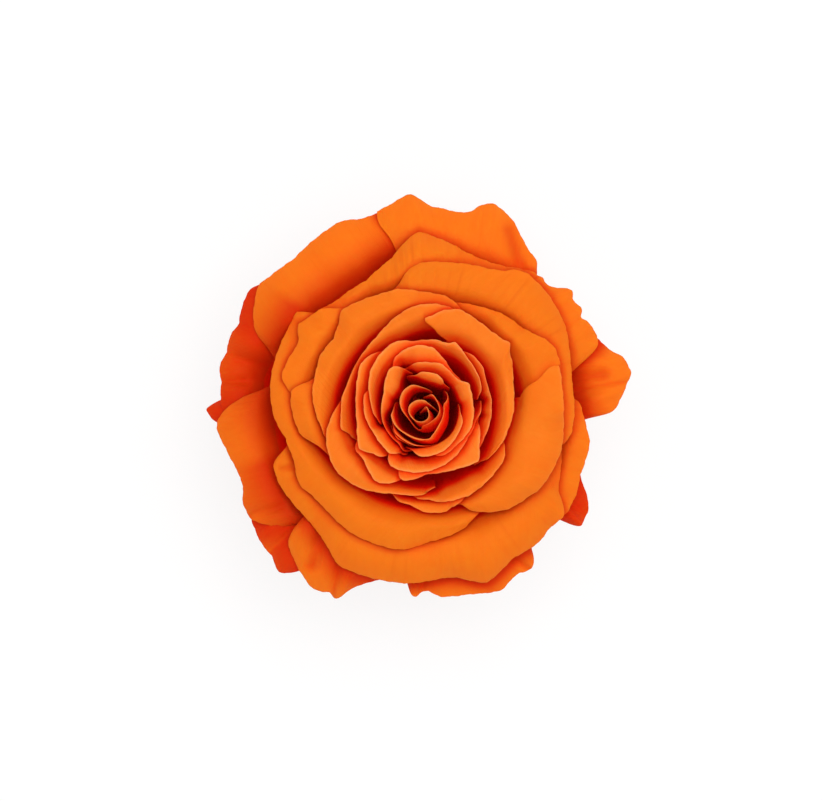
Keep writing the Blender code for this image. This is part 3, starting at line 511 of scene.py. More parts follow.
# %% [markdown]
# ## A petal's profile
# Cut along its length, a petal is a line that starts on the hip, climbs as a wall, turns at the
# crest and runs out as a margin. Bezier curves drawn by hand would each be a little different, but
# one formula gives every petal the same habit at its own size. The wall closes in on the petals
# inside it as soon as it is below the crest, as tightly wound petals do, and the sharp corner
# between wall and margin is replaced by a quadratic curve.

# %% The profile from claw to rim
# The hip's dome: its top, and how it falls away by the base's radius.
DOME_TOP, DOME_FALL, DOME_POWER, BASE_GAP = 16.0, 0.0245, 2.5, 0.40
WALL_POWER = 2.2
# Millimetres to one unit of length along the profile, past the crest and before it.
MARGIN_UNIT, SHOULDER_UNIT = 10.0, 20.0
# Heart petals bulge below their crest, and over this share of the wall they come back to it.
BULGE, BULGE_SHARE = 0.5, 0.12
CLOSING_DEPTH = 2.6
CREST_ROUNDING = ((0.0, 0.2), (4.0, 0.35), (7.0, 0.6), (11.0, 1.3), (16.0, 2.0), (24.0, 2.6))


def profile(petal, crest, closing, along):
    """Radius and height for a length t along the profile: up to 1 the wall, whose radius is
    base + (crest + bulge - closing - base) * (1 - (1 - t)^power) as it rises, then the margin."""
    rise = np.clip(along, 0.0, 1.0)
    margin = np.maximum(along - 1.0, 0.0) * MARGIN_UNIT
    foot = DOME_TOP - DOME_FALL * petal.base**DOME_POWER + BASE_GAP
    top = margin_height(crest, 0.0)
    bulge = BULGE * np.sin(np.pi * np.minimum(crest / HEART_END, 1.0))
    bulge = bulge * np.minimum((1 - rise) / BULGE_SHARE, 1.0)
    bulge = bulge - closing * (1 - np.exp(-(1 - rise) * (top - foot) / CLOSING_DEPTH))
    radius = petal.base + (crest + bulge - petal.base) * (1 - (1 - rise) ** WALL_POWER) + margin
    height = foot + (top - foot) * rise + margin_height(crest, margin) - top
    return radius, height, top - foot


def rounded_profile(petal, crest, closing, along):
    """The profile with its corner replaced: (1-s)^2 A + 2s(1-s) B + s^2 C, between two tangent
    points A and C on the wall and the margin, where B is the corner."""
    radius, height, tall = profile(petal, crest, closing, along)
    size = at(CREST_ROUNDING, crest)
    before, after = 1 - size / tall, 1 + size / MARGIN_UNIT
    turn = np.where(along < 1, (along - 1) * tall / size, (along - 1) * MARGIN_UNIT / size)
    share = np.clip((turn + 1) / 2, 0.0, 1.0)
    points = [profile(petal, crest, closing, np.broadcast_to(stop, along.shape))[:2]
              for stop in (before, np.ones_like(before), after)]
    weights = ((1 - share) ** 2, 2 * share * (1 - share), share**2)
    inner = abs(turn) < 1
    curve_radius = sum(weight * point[0] for weight, point in zip(weights, points))
    curve_height = sum(weight * point[1] for weight, point in zip(weights, points))
    return np.where(inner, curve_radius, radius), np.where(inner, curve_height, height)


bent = rounded_profile(petals[-1], np.full(3, 22.0), np.zeros(3), np.array([0.0, 1.0, 1.6]))
print("a skirt petal's foot, crest and margin are", bent[1].round(1), "mm high")

# %% [markdown]
# ## A petal's edge
# No two rims of a flower are even. They ripple, they have small tears, and toward their ends the
# petals of the heart slope down. A noise texture could push the finished mesh about, but it would
# not know which way the rim runs. Here sums of sines run along the rim itself, with seeded random
# phases, and each kind of wobble has a rate of its own.

# %% Read a petal's edge
# Wobbles along a rim: how many to a millimetre. Each one has random phases of its own.
WOBBLES = {
    "length": 0.45, "wave": 0.045, "curl": 0.07, "crinkle": 0.35, "wrinkle": 0.55,
    "wrinkle_strength": 0.05, "crease": 0.11,
}
# The sines of a wobble, by how many times its rate and what share of its size.
SINES = ((1.0, 0.5), (1.9, 0.3), (3.3, 0.2))
# The corners of a drawn rim are softened over this width, and it ripples by this much.
RIM_SOFTNESS, RIPPLE, RIPPLE_RISE = 0.2, 0.07, 1.5
# Near its two ends a heart or bud rim comes down, over this length and by this much.
END_LENGTH = ((0.0, 1.5), (4.0, 3.0), (6.0, 2.6), (10.0, 1.5))
END_DROP = ((0.0, 3.0), (4.0, 3.6), (6.0, 1.8), (10.0, 0.8))
END_SHARE, END_CUT = ((7.0, 1.0), (10.0, 0.0)), 0.5
# Where a rim is lower than its neighbours: petal, angle, half width in degrees, by how much.
DIPS = (
    ("petal_heart_2", 232, 26, 1.8),
)


def rising(distance, length):
    """From 0 to 1 over a length, in a straight line."""
    return np.clip(distance / length, 0.0, 1.0)


def fading(distance, length):
    """From 1 to 0 over a length, in a straight line."""
    return np.clip(1 - distance / length, 0.0, 1.0)


def ripple(where, periods, seed):
    """Sum of three sines with random phases: an even wobble between about -1 and 1."""
    draw = np.random.default_rng(seed)
    total = 0.0
    for factor, size in SINES:
        total = total + size * np.sin(2 * np.pi * (where * periods * factor + draw.random()))
    return total


def run_along(angle, radius):
    """Length along a line about the axis, from its first column: the sum of radius * step."""
    return np.cumsum(np.radians(np.gradient(angle, axis=0)) * radius, axis=0)


class Edge:
    """A petal's crest and rim at evenly spaced columns, from one side edge to the other."""

    def __init__(self, petal, columns, seed):
        self.place = np.linspace(0.0, 1.0, columns)[:, None]
        self.angle, self.rim_angle, self.crest, self.drawn, self.room_above, self.room_below = (
            np.interp(self.place, PLACES, line) for line in (
                petal.angles, petal.rim_angles, petal.crest, petal.drawn, petal.room_above,
                petal.room_below))
        self.mean = self.crest.mean()
        spacing = np.radians(self.rim_angle[1, 0] - self.rim_angle[0, 0]) * self.mean
        rim = at(petal.rim_points, self.rim_angle[:, 0])
        self.rim = blurred(rim, RIM_SOFTNESS / spacing)[:, None]
        arc = run_along(self.rim_angle, np.maximum(self.rim, self.crest))
        self.wobble = {name: ripple(arc, periods, seed + number)
                       for number, (name, periods) in enumerate(WOBBLES.items())}


def edge_reach(petal, edge):
    """How far along the profile each column goes. Its length past the crest is the rim less the
    crest, plus a ripple, less what it loses near its ends and in a dip."""
    length = np.maximum(edge.rim - edge.crest, np.minimum(edge.rim - edge.drawn, KEPT_LIP))
    length = length + RIPPLE * edge.wobble["length"] * rising(length, RIPPLE_RISE)
    arc = run_along(edge.angle, edge.crest)
    to_end = np.minimum(arc - arc[0], arc[-1] - arc)
    corner = fading(to_end, at(END_LENGTH, edge.mean)) ** 2 * at(END_SHARE, edge.mean)
    length = length - corner * (np.maximum(length, 0.0) * END_CUT + at(END_DROP, edge.mean))
    for name, where, half_width, depth in DIPS:
        if name == petal.name:
            length = length - depth * np.exp(-(((edge.angle - where) / half_width) ** 2))
    return 1 + np.where(length > 0, length / MARGIN_UNIT, length / SHOULDER_UNIT)


sample = Edge(petals[-1], 60, 1)
print(f"the last petal's margin is {(sample.rim - sample.crest).max():.1f} mm wide at most")

# %% [markdown]
# ## A petal as a grid
# A petal is a sheet with two directions: across, from one side edge to the other, and up, from
# the claw on the hip to the rim. It could be sculpted or cut from a subdivided plane, but the
# profile family already says where every point goes, so numpy works out the whole grid at once.
# Rows stand closer together near the crest and near the rim, where the sheet bends most. The
# claw is narrow, and the side edges of a broad margin bow outward a little, as soft edges do.

# %% Lay out the grid
# Rows as shares of the wall and of the margin: 1 - (1 - even steps)^power.
WALL_ROWS = 1 - (1 - np.linspace(0, 1, 25)) ** 1.5
MARGIN_ROWS = 1 - (1 - np.linspace(0, 1, 18)[1:]) ** 1.3
# The crest row's least distance from the rim along the profile, and how far up the wall the claw
# widens.
SHORTEST_LIP, CLAW_END = 0.06, 0.75
# How far side edges bow out, how much of it by crest radius, how near the sides, and an overtone.
SIDE_BOW, BOW_SHARE, BOW_POWER, BOW_OVERTONE = 0.7, ((8.0, 0.0), (12.0, 1.0)), 5, 0.3


def grid_rows(reach):
    """Length along the profile for every grid point: wall rows to the crest, then margin rows."""
    shoulder = np.minimum(1.0, reach - SHORTEST_LIP)
    margin = shoulder + (reach - shoulder) * MARGIN_ROWS
    return np.concatenate((shoulder * WALL_ROWS, margin), axis=1)


def grid_angles(petal, edge, reach, along):
    """Angle of every grid point: the crest line's, narrowed to the claw by 3s^2 - 2s^3, and on the
    margin a share of the way to the rim line's angle, plus the bow of the side edges."""
    share = np.minimum(np.clip(along, 0.0, 1.0) / CLAW_END, 1.0)
    width = petal.claw + (1 - petal.claw) * share * share * (3 - 2 * share)
    angle = petal.middle + (edge.angle - petal.middle) * width
    out = np.clip((along - 1) / np.maximum(reach - 1, TINY), 0.0, 1.0)
    angle = angle + (edge.rim_angle - edge.angle) * out
    bow = np.degrees(SIDE_BOW / edge.crest) * (2 * edge.place - 1) ** BOW_POWER
    swell = np.sin(np.pi * out) + BOW_OVERTONE * np.sin(3 * np.pi * out)
    return angle + bow * at(BOW_SHARE, edge.mean) * swell


def grid_profile(petal, edge, angle, along):
    """Radius and height of every grid point, from the crest and tight lines at its own angle."""
    wall_crest = np.interp(angle, petal.angles, petal.crest)
    crest = np.where(along > 1, edge.crest, wall_crest)
    closing = wall_crest - np.interp(angle, petal.angles, petal.tight)
    return rounded_profile(petal, crest, closing, along)


print(f"{len(WALL_ROWS)} rows up a wall and {len(MARGIN_ROWS)} across a margin")

# %% [markdown]
# ## Curls, waves and wrinkles
# A free rim rolls over and droops, and a broad one waves slowly up and down. The petal's skin is
# also crinkled at the very rim, and a few dried harder and have fine wrinkles from claw to rim.
# Each of these only lifts or lowers the sheet, so they are added to its height one after another,
# and all of them fade out before the crest, where the next petal presses.

# %% Ruffle the margins
# Room that two sheets keep between them, whatever they do.
SHEET_ROOM = 0.4
# A rim curls down over this length by at most this much, and by this share of its free room.
CURL_LENGTH = ((0.0, 1.5), (8.0, 2.2), (13.0, 3.6), (20.0, 4.5), (24.0, 4.0))
CURL_MOST = ((0.0, 0.1), (5.0, 0.4), (10.0, 1.0), (13.0, 1.9), (19.0, 2.4), (21.0, 1.6), (24.0, 1.4))
CURL_SHARE, CURL_EVEN, CURL_UNEVEN, CURL_RISE = 0.88, 0.9, 0.15, 2.5
WAVE_MOST, WAVE_SHARE, WAVE_RISE, WAVE_POWER = 0.5, 0.5, 3.0, 1.5
CRINKLE, CRINKLE_WIDTH, CRINKLE_RISE, CRINKLE_POWER = 0.09, 1.2, 1.0, 1.5
# Fine wrinkles from claw to rim, by how high they stand.
WRINKLES = {
    "petal_fan_upper": 0.10, "petal_fan_upper_right": 0.08, "petal_fan_low": 0.05,
    "petal_outer_right": 0.08, "petal_outer_top": 0.04, "petal_outer_low_right": 0.06,
}
WRINKLE_RISE, WRINKLE_FADE, WRINKLE_EVEN, WRINKLE_UNEVEN = 2.0, 1.5, 0.6, 0.4


def wrinkles(petal, edge, margin, from_rim):
    """Wrinkles of the margin, with their full height between the crest and the rim."""
    height = WRINKLES.get(petal.name, 0.0) * edge.wobble["wrinkle"]
    return height * (rising(margin, WRINKLE_RISE) * rising(from_rim, WRINKLE_FADE))


def ruffled(petal, edge, height, margin, from_rim):
    """The height less a curl of (1 - distance from the rim / its length)^2, plus a slow wave, the
    wrinkles and a fine crinkle at the rim."""
    curl = np.clip(CURL_SHARE * (edge.room_below - SHEET_ROOM), 0.0, at(CURL_MOST, edge.mean))
    curl = curl * (CURL_EVEN + CURL_UNEVEN * edge.wobble["curl"]) * rising(margin, CURL_RISE)
    height = height - curl * fading(from_rim, at(CURL_LENGTH, edge.mean)) ** 2
    room = np.minimum(edge.room_above, edge.room_below) - SHEET_ROOM
    wave = np.clip(WAVE_SHARE * room, 0.0, WAVE_MOST) * edge.wobble["wave"]
    height = height + wave * rising(margin, WAVE_RISE) ** WAVE_POWER
    strength = WRINKLE_EVEN + WRINKLE_UNEVEN * edge.wobble["wrinkle_strength"]
    height = height + wrinkles(petal, edge, margin, from_rim) * strength
    crinkle = fading(from_rim, CRINKLE_WIDTH) ** CRINKLE_POWER * rising(margin, CRINKLE_RISE)
    return height + CRINKLE * crinkle * edge.wobble["crinkle"]


print(f"{len(WRINKLES)} petals have fine wrinkles")

# %% [markdown]
# ## Folds and a leaning heart
# The outer petals are soft and have a few large folds, each with its own place, which no even
# wobble gives. A fold is a straight ridge or groove between two places, with a bell-shaped section.
# The heart isn't upright: below its rims it leans to one side, so that the eye looks down along
# the rolled petals. Grooves also get painted shade, a deeper colour, so they are returned as creases.

# %% Fold the outer petals and lean the heart
# Petal, from angle and radius, to angle and radius, half width, height up or down.
FOLDS = (
    ("petal_outer_right", 3.0, 22.5, 6.0, 28.5, 0.8, 0.5),
    ("petal_outer_right", 8.8, 23.0, 8.8, 30.5, 0.35, -0.4),
    ("petal_outer_right", 13.0, 22.0, 12.0, 27.0, 1.2, -0.9),
    ("petal_outer_top", 54.0, 25.0, 64.5, 29.6, 1.1, -0.85),
    ("petal_fan_upper", 83.0, 22.7, 89.0, 22.0, 0.4, -0.3),
    ("petal_fan_upper", 80.0, 22.3, 82.5, 19.2, 0.25, -0.15),
    ("petal_outer_left_top", 164.0, 22.5, 163.5, 28.0, 1.0, -0.8),
    ("petal_outer_left_top", 171.0, 30.0, 170.0, 26.5, 0.7, -0.9),
    ("petal_outer_left_top", 159.0, 23.0, 158.0, 29.5, 1.2, 0.5),
    ("petal_outer_left_low", 213.5, 25.0, 210.5, 29.5, 0.8, -0.8),
    ("petal_outer_corner", 217.5, 25.0, 217.0, 30.0, 0.8, 0.5),
    ("petal_outer_corner", 222.5, 27.0, 222.0, 30.0, 0.8, -0.6),
    ("petal_outer_bottom_left", 234.0, 27.3, 231.0, 24.0, 1.1, -1.0),
    ("petal_outer_bottom_left", 244.3, 30.0, 241.2, 25.4, 0.5, -0.7),
    ("petal_outer_bottom", 304.5, 27.5, 302.0, 25.0, 0.6, -0.8),
    ("petal_outer_bottom", 269.5, 26.0, 271.0, 24.5, 0.5, -0.5),
    ("petal_outer_low_right", 324.8, 28.5, 326.0, 26.0, 0.5, 0.7),
    ("petal_outer_low_right", 328.5, 28.0, 328.5, 25.8, 0.8, -0.6),
    ("petal_fan_low", 201.5, 22.0, 202.5, 20.6, 0.5, -0.5),
)
# How much painted shade a groove and a wrinkle's trough get by their depth, and how many patches
# have them.
CREASE_DEPTH, WRINKLE_CREASE, CREASE_PATCH = 0.6, 3.5, 0.2
# How far the heart leans, which way and over what depth, then where it comes back: by depth and by
# radius.
LEAN, LEAN_BEARING, LEAN_DEPTH = 1.4, math.radians(-50), 1.6
LEAN_BACK, LEAN_END, LEAN_FADE = 6.0, 5.4, 2.0


def in_plan(angle, radius):
    """A place in plan as one complex number: radius * e^(i * angle)."""
    return radius * np.exp(1j * np.radians(angle))


def beside_line(angle, radius, line):
    """Distance in plan from each point to a straight line between two (angle, radius) places."""
    first, last = in_plan(*line[:2]), in_plan(*line[2:])
    run = last - first
    away = in_plan(angle, radius) - first
    share = np.clip((away * np.conj(run)).real / abs(run) ** 2, 0.0, 1.0)
    return abs(away - share * run)


def folded(petal, angle, radius, height, crease):
    """The height plus fold * exp(-(distance / half width)^2) for each fold, and the creases,
    which get painted shade.
    """
    for name, *line, half_width, fold in FOLDS:
        if name == petal.name:
            near = np.exp(-((beside_line(angle, radius, line) / half_width) ** 2))
            height = height + fold * near
            crease = np.maximum(crease, -CREASE_DEPTH * fold * near)
    return height, crease


def leaning(radius, height):
    """How far each point leans: up to LEAN by its depth below the crests there, then back to
    nothing far down and away from the heart."""
    deep = np.maximum(margin_height(radius, 0.0) - height, 0.0)
    lean = LEAN * (1 - np.exp(-deep / LEAN_DEPTH))
    lean = lean * np.exp(-np.maximum(deep - LEAN_BACK, 0.0) / LEAN_BACK)
    return lean * rising(LEAN_END - radius, LEAN_FADE)


print(f"{len(FOLDS)} folds and {len(DIPS)} dip")

# %% [markdown]
# ## Where painted shade deepens the colour
# A petal gets painted shade, a deeper red, where it lies under another. It could be painted on by
# hand for each petal. But the younger petals' lines are known, so the distance to the nearest point
# under another petal can be worked out for the whole grid, and the painted shade fades with it. A
# distance from a cover's side edge counts for more than one from its rim, so that the shade doesn't
# spill out sideways.

# %% Measure how far each point lies from cover
SIDE_WEIGHT = 3.0
# The distance given where nothing is near, degrees past which a petal is no cover, and the
# narrowest margin in millimetres.
UNCOVERED, SIDE_REACH, LEAST_MARGIN = 40.0, 20, 0.1
# How far the painted shade reaches and how strong it is, by crest radius, and its reach on the
# petals that lie low beside the bloom, where it stands in for the bloom's shadow.
SHADE_LENGTH = ((0.0, 1.0), (9.0, 0.9), (12.0, 0.7), (16.0, 0.5), (24.0, 0.9))
SHADE_STRENGTH = ((11.0, 1.0), (18.0, 0.65))
SHADES = {
    "petal_outer_upper_left": 4.0, "petal_outer_left_top": 13.0, "petal_outer_left_low": 6.0,
    "petal_outer_corner": 7.0, "petal_outer_left_tip": 12.0, "petal_outer_bottom_left": 2.5,
    "petal_outer_low_right": 8.0, "petal_outer_right": 3.0, "petal_outer_bottom": 1.6,
}
# The most painted shade that a groove gives.
CREASE_SHADE = 0.8


def beyond_cover(petal, angle, radius, others):
    """Millimetres from each point to the nearest one that lies under a younger petal: the larger of
    its way in to that petal's rim and its weighted way aside to that petal's edge."""
    own = np.interp(angle, petal.angles, petal.crest)
    nearest = np.full(angle.shape, UNCOVERED)
    for other in others:
        for turn in TURNS:
            here = angle + turn
            far_off = here.max() < other.start - SIDE_REACH or here.min() > other.end + SIDE_REACH
            if other is petal or far_off:
                continue
            crest = np.interp(here, other.angles, other.crest)
            rim = np.maximum(np.interp(here, other.rim_angles, other.rim), crest)
            out = np.clip((radius - crest) / np.maximum(rim - crest, LEAST_MARGIN), 0.0, 1.0)
            first = other.start + (other.rim_angles[0] - other.start) * out
            last = other.end + (other.rim_angles[-1] - other.end) * out
            aside = np.radians(np.maximum(first - here, here - last)) * radius
            beyond = np.maximum(radius - rim, aside * SIDE_WEIGHT)
            nearest = np.minimum(nearest, np.where(crest < own, beyond, nearest))
    return np.maximum(nearest, 0.0)


def shade_under(petal, mean, angle, radius, crease):
    """Painted shade = strength * exp(-(distance / reach)^2), or that of a crease where it is
    deeper.
    """
    fade = SHADES.get(petal.name, at(SHADE_LENGTH, mean))
    strength = 1.0 if petal.name in SHADES else at(SHADE_STRENGTH, mean)
    shade = strength * np.exp(-((beyond_cover(petal, angle, radius, petals) / fade) ** 2))
    return np.maximum(shade, np.clip(crease, 0.0, CREASE_SHADE))


print(f"{len(SHADES)} petals have a shade of their own")

# %% [markdown]
# ## One petal's sheet
# Now the steps are joined: edge, grid, profile, ruffles, folds and lean give the points, and
# distances measured on the finished grid go with them. The material will follow those distances,
# so its veins and painted shades bend with the petal and don't slide over it.

# %% Put the sheet together


def running_length(points, axis):
    """Length along the grid in one direction: the sum of the steps between its points."""
    steps = np.linalg.norm(np.gradient(points, axis=axis), axis=-1)
    return np.cumsum(steps, axis=axis)


def petal_sheet(petal, columns, seed):
    """Grid of points (columns, rows, 3) in millimetres about the axis, and for its material how
    far each point lies across, up and below the crest, and how deep its painted shade is."""
    edge = Edge(petal, columns, seed)
    reach = edge_reach(petal, edge)
    along = grid_rows(reach)
    angle = grid_angles(petal, edge, reach, along)
    radius, height = grid_profile(petal, edge, angle, along)

    margin = np.maximum(along - 1.0, 0.0) * MARGIN_UNIT
    from_rim = (reach - along) * MARGIN_UNIT
    height = ruffled(petal, edge, height, margin, from_rim)
    # Painted shade in the wrinkles' troughs, in patches.
    patches = np.clip(edge.wobble["crease"] + CREASE_PATCH, 0.0, 1.0)
    crease = -WRINKLE_CREASE * wrinkles(petal, edge, margin, from_rim) * patches
    height, crease = folded(petal, angle, radius, height, crease)

    turn = np.radians(angle)
    lean = leaning(radius, height)
    points = np.stack((radius * np.cos(turn) + lean * math.cos(LEAN_BEARING),
                       radius * np.sin(turn) + lean * math.sin(LEAN_BEARING), height), axis=-1)
    across, up = running_length(points, 0), running_length(points, 1)
    crest_up = up[np.arange(columns), np.argmin(abs(along - 1), axis=1)]
    return points, {
        "across": across - across[columns // 2],
        "up": up,
        "from_rim": up[:, -1:] - up,
        # Depth below the crest, which the material turns into painted throat shade.
        "below": np.maximum(crest_up[:, None] - up, 0.0),
        "covered": shade_under(petal, edge.mean, angle, radius, crease),
    }


sheet_points, sheet_layers = petal_sheet(petals[0], 60, 1)
print(f"a petal grid holds {sheet_points.shape[0]} by {sheet_points.shape[1]} points")
print("layers:", ", ".join(sheet_layers))

# %% [markdown]
# ## From sheet to body
# A petal has a thickness, more at its claw than at its rim. Blender's Solidify gives every place
# the same one, so the two faces are made here: the sheet moved half a thickness along its normal
# each way. A strip with a middle row closes the edge, which makes it look round, not cut.

# %% Close a sheet into a body
EDGE_ROUNDNESS = 0.9


def sheet_normals(points):
    """Cross product of the two grid directions, made one unit long."""
    normal = np.cross(np.gradient(points, axis=0), np.gradient(points, axis=1))
    return normal / np.maximum(np.linalg.norm(normal, axis=-1, keepdims=True), TINY)


def grid_faces(index):
    """Four corners of each cell of a grid of point numbers."""
    return np.stack((index[:-1, :-1], index[1:, :-1], index[1:, 1:], index[:-1, 1:]),
                    axis=-1).reshape(-1, 4)


def border(grid):
    """The values round a grid's border, once round, as one line."""
    return np.concatenate((grid[:, 0], grid[-1, 1:], grid[-2::-1, -1], grid[0, -2:0:-1]))


def closed_sheet(points, thickness):
    """Points and faces of a body: the sheet plus and minus half its thickness, the back first, and
    an edge strip whose middle row stands out by most of a half. Also the grid point of each one."""
    normal = sheet_normals(points)
    columns, rows = points.shape[:2]
    count = columns * rows
    index = np.arange(count).reshape(columns, rows)
    half = thickness[..., None] / 2
    back = (points + normal * half).reshape(-1, 3)
    front = (points - normal * half).reshape(-1, 3)
    ring = border(index)
    rim = points.reshape(-1, 3)[ring]
    inward = np.clip(np.arange(columns), 1, columns - 2)[:, None] * rows
    inward = inward + np.clip(np.arange(rows), 1, rows - 2)[None, :]
    away = rim - points.reshape(-1, 3)[border(inward)]
    away = away / np.maximum(np.linalg.norm(away, axis=-1, keepdims=True), TINY)
    edge = rim + away * border(half[..., 0])[:, None] * EDGE_ROUNDNESS
    middle = 2 * count + np.arange(len(ring))
    after = np.roll(np.arange(len(ring)), -1)
    faces = np.concatenate((
        grid_faces(index),
        grid_faces(index)[:, ::-1] + count,
        np.stack((ring[after], ring, middle, middle[after]), axis=-1),
        np.stack((middle[after], middle, ring + count, ring[after] + count), axis=-1),
    ))
    origin = np.concatenate((np.arange(count), np.arange(count), ring))
    return np.concatenate((back, front, edge)), faces, origin


body, faces, origin = closed_sheet(sheet_points, np.full(sheet_points.shape[:2], PETAL_THICKNESS))
print(f"the same grid closed: {len(body)} points and {len(faces)} faces")

# %% [markdown]
# ## From arrays to a mesh
# Blender can take a whole array of corners at once, which is much quicker than adding faces one by
# one. The distances go with the mesh as named layers, one number for each point.

# %% Make a mesh


def facing_out(points, faces):
    """The faces, turned round if the body's volume comes out negative."""
    a, b, c, d = (points[faces[:, corner]] for corner in range(4))
    volume = (np.cross(a, b) * c).sum() + (np.cross(a, c) * d).sum()
    return faces if volume > 0 else faces[:, ::-1]


def make_mesh(name, points, faces, layers):
    """A smooth-shaded mesh object from points in millimetres about the axis, with its layers.
    A face that names the same point twice in a row is a triangle."""
    mesh = bpy.data.meshes.new(name)
    mesh.vertices.add(len(points))
    mesh.vertices.foreach_set("co", (points * MM + (AXIS_X, AXIS_Y, 0.0)).ravel())
    kept = faces != np.roll(faces, 1, axis=1)
    corners = kept.sum(axis=1)
    mesh.loops.add(int(corners.sum()))
    mesh.loops.foreach_set("vertex_index", faces[kept].astype(np.int32))
    mesh.polygons.add(len(faces))
    mesh.polygons.foreach_set("loop_start", np.concatenate(([0], np.cumsum(corners)[:-1])))
    mesh.polygons.foreach_set("use_smooth", np.ones(len(faces), bool))
    for layer, values in layers.items():
        mesh.attributes.new(layer, "FLOAT", "POINT").data.foreach_set("value", values)
    mesh.update(calc_edges=True)
    mesh.validate()
    piece = bpy.data.objects.new(name, mesh)
    bpy.context.scene.collection.objects.link(piece)
    return piece


print("mesh helper ready")

# %% [markdown]
# ## How hollow a place is, for painted shade
# Between the petals of the bud the light goes from petal to petal and comes back deep red. Left to
# the shadows alone, such places lose that red, so a layer says how hollow each place is, and the
# material paints a deep red shade there. It could come from rays cast out of every point, which is
# slow. Here it comes from a height map of the bloom: a point is in a hollow if it lies lower than
# the mean height about it, over three widths. A wall that stands upright counts as a little hollow
# too, and gets some painted shade.

# %% Map the bloom's heights
MAP_CELL, MAP_CELLS = 0.5, 144
HOLLOW_WIDTHS = (0.7, 2.0, 4.0)
# Share of painted shade that an upright wall gets.
UPRIGHT_SHARE = 0.4
COLUMN_SIZE, FEWEST_COLUMNS, MOST_COLUMNS = 0.22, 70, 200
SEED_STEP = 10


def rim_columns(petal):
    """How many columns the petal's rim needs, so that its ripples are drawn everywhere alike."""
    arc = np.radians(abs(petal.rim_angles[-1] - petal.rim_angles[0])) * petal.rim.mean()
    return int(np.clip(arc / COLUMN_SIZE, FEWEST_COLUMNS, MOST_COLUMNS))


def height_map(points):
    """Highest point in each cell of a square grid; an empty cell takes its highest neighbour."""
    cells = np.zeros((MAP_CELLS, MAP_CELLS))
    where = (points[:, :2] / MAP_CELL + MAP_CELLS / 2).astype(int)
    np.maximum.at(cells, (where[:, 0], where[:, 1]), points[:, 2])
    steps = (-1, 0, 1)
    around = np.max([np.roll(cells, (x, y), (0, 1)) for x in steps for y in steps], axis=0)
    return np.where(cells > 0, cells, around)


def softened(cells, width):
    """The map averaged with a bell-shaped weight of that width in mm, through its Fourier sum."""
    waves = np.fft.fftfreq(MAP_CELLS, MAP_CELL)
    weight = np.exp(-2 * (np.pi * width) ** 2 * (waves[:, None] ** 2 + waves[None, :] ** 2))
    return np.fft.ifft2(np.fft.fft2(cells) * weight).real


def read_map(cells, points):
    """The map's value at each point, linear between the middles of four cells."""
    where = points[..., :2] / MAP_CELL + MAP_CELLS / 2 - 0.5
    first = where.astype(int)
    right, up = np.moveaxis(where - first, -1, 0)
    x, y = np.moveaxis(first, -1, 0)
    return ((cells[x, y] * (1 - right) + cells[x + 1, y] * right) * (1 - up)
            + (cells[x, y + 1] * (1 - right) + cells[x + 1, y + 1] * right) * up)


def hollowness(points):
    """The mean height about each point less its own, over the width of that mean, from 0 to 1 for
    each width, plus a share for an upright wall, and 1 in all at most."""
    shares = [np.clip((read_map(cells, points) - points[..., 2]) / width, 0.0, 1.0)
              for width, cells in soft_maps]
    upright = 1 - abs(sheet_normals(points)[..., 2])
    return np.minimum(sum(shares) + UPRIGHT_SHARE * upright, 1.0)


sheets = [petal_sheet(petal, rim_columns(petal), SEED_STEP * number)
          for number, petal in enumerate(petals, 1)]
heights = height_map(np.concatenate([points.reshape(-1, 3) for points, layers in sheets]))
soft_maps = [(width, softened(heights, width)) for width in HOLLOW_WIDTHS]
print(f"{len(sheets)} sheets, the bloom's top at {heights.max():.1f} mm")

# %% [markdown]
# ## Growing the bloom
# Every petal goes through the same steps, and replaces the plain solid of its own name. The inner
# petals get painted shade on both faces, because little light reaches either, but the skirt's backs
# are open to the light and get none.

# %% Make the 43 petals
CLAW_THICKENING, RIM_THINNING = 1.1, 0.55
# How far a petal counts as an inner one, by its mean crest radius.
INNER_SHARE = ((8.0, 1.0), (15.0, 0.0))
PATTERN_STEP = 50.0


def build_petal(petal, number, points, layers):
    """The petal's sheet, thinned from claw to rim and closed, riding on the flower."""
    share = layers["up"] / layers["up"][:, -1:]
    thickness = petal.thickness * (CLAW_THICKENING + (RIM_THINNING - CLAW_THICKENING) * share)
    body, faces, origin = closed_sheet(points, thickness)
    layers = {name: values.ravel()[origin] for name, values in layers.items()}
    layers["hollow"] = hollowness(points).ravel()[origin]
    inner = at(INNER_SHARE, petal.crest.mean())
    on_back = np.arange(len(origin)) < share.size
    # Painted shade on the back face counts only as far as the petal is an inner one.
    for name in ("below", "covered", "hollow"):
        layers[name] = layers[name] * np.where(on_back, inner, 1.0)
    layers["inner"] = np.full(len(origin), inner)
    # Each petal reads another stretch of the vein pattern, so no two have the same veins.
    layers["across"] = layers["across"] + PATTERN_STEP * number
    piece = make_mesh("dressed_" + petal.name, body, facing_out(body, faces), layers)
    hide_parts(petal.name)
    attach(piece, "root")
    return piece


petal_pieces = [build_petal(petal, number, *sheet)
                for number, (petal, sheet) in enumerate(zip(petals, sheets), 1)]
face_count = sum(len(piece.data.polygons) for piece in petal_pieces)
print(f"{len(petal_pieces)} petals, {2 * face_count} triangles")

# %% [markdown]
# ## Sepals
# Under the bloom five sepals are bent back. A sepal is again a sheet: a smooth line through a few
# stations of radius, height and half width, with a raised midrib, faint veins and edges that roll
# down. The line is a Catmull-Rom curve, which passes through each station and has no corner there.

# %% Make the sepals
SEPAL_STATIONS = (
    (6.4, 11.0, 2.1), (7.6, 11.2, 2.5), (9.3, 10.9, 3.1), (11.6, 9.2, 2.8), (13.8, 6.2, 2.1),
    (15.6, 2.9, 1.2), (17.0, 0.45, 0.16),
)
SEPAL_COUNT, SEPAL_COLUMNS, SEPAL_ROWS = 5, 41, 90
SEPAL_THICKNESS, SEPAL_LENGTH = 0.63, 14.0
TIP_THINNING, SIDE_THINNING = 0.55, 0.5
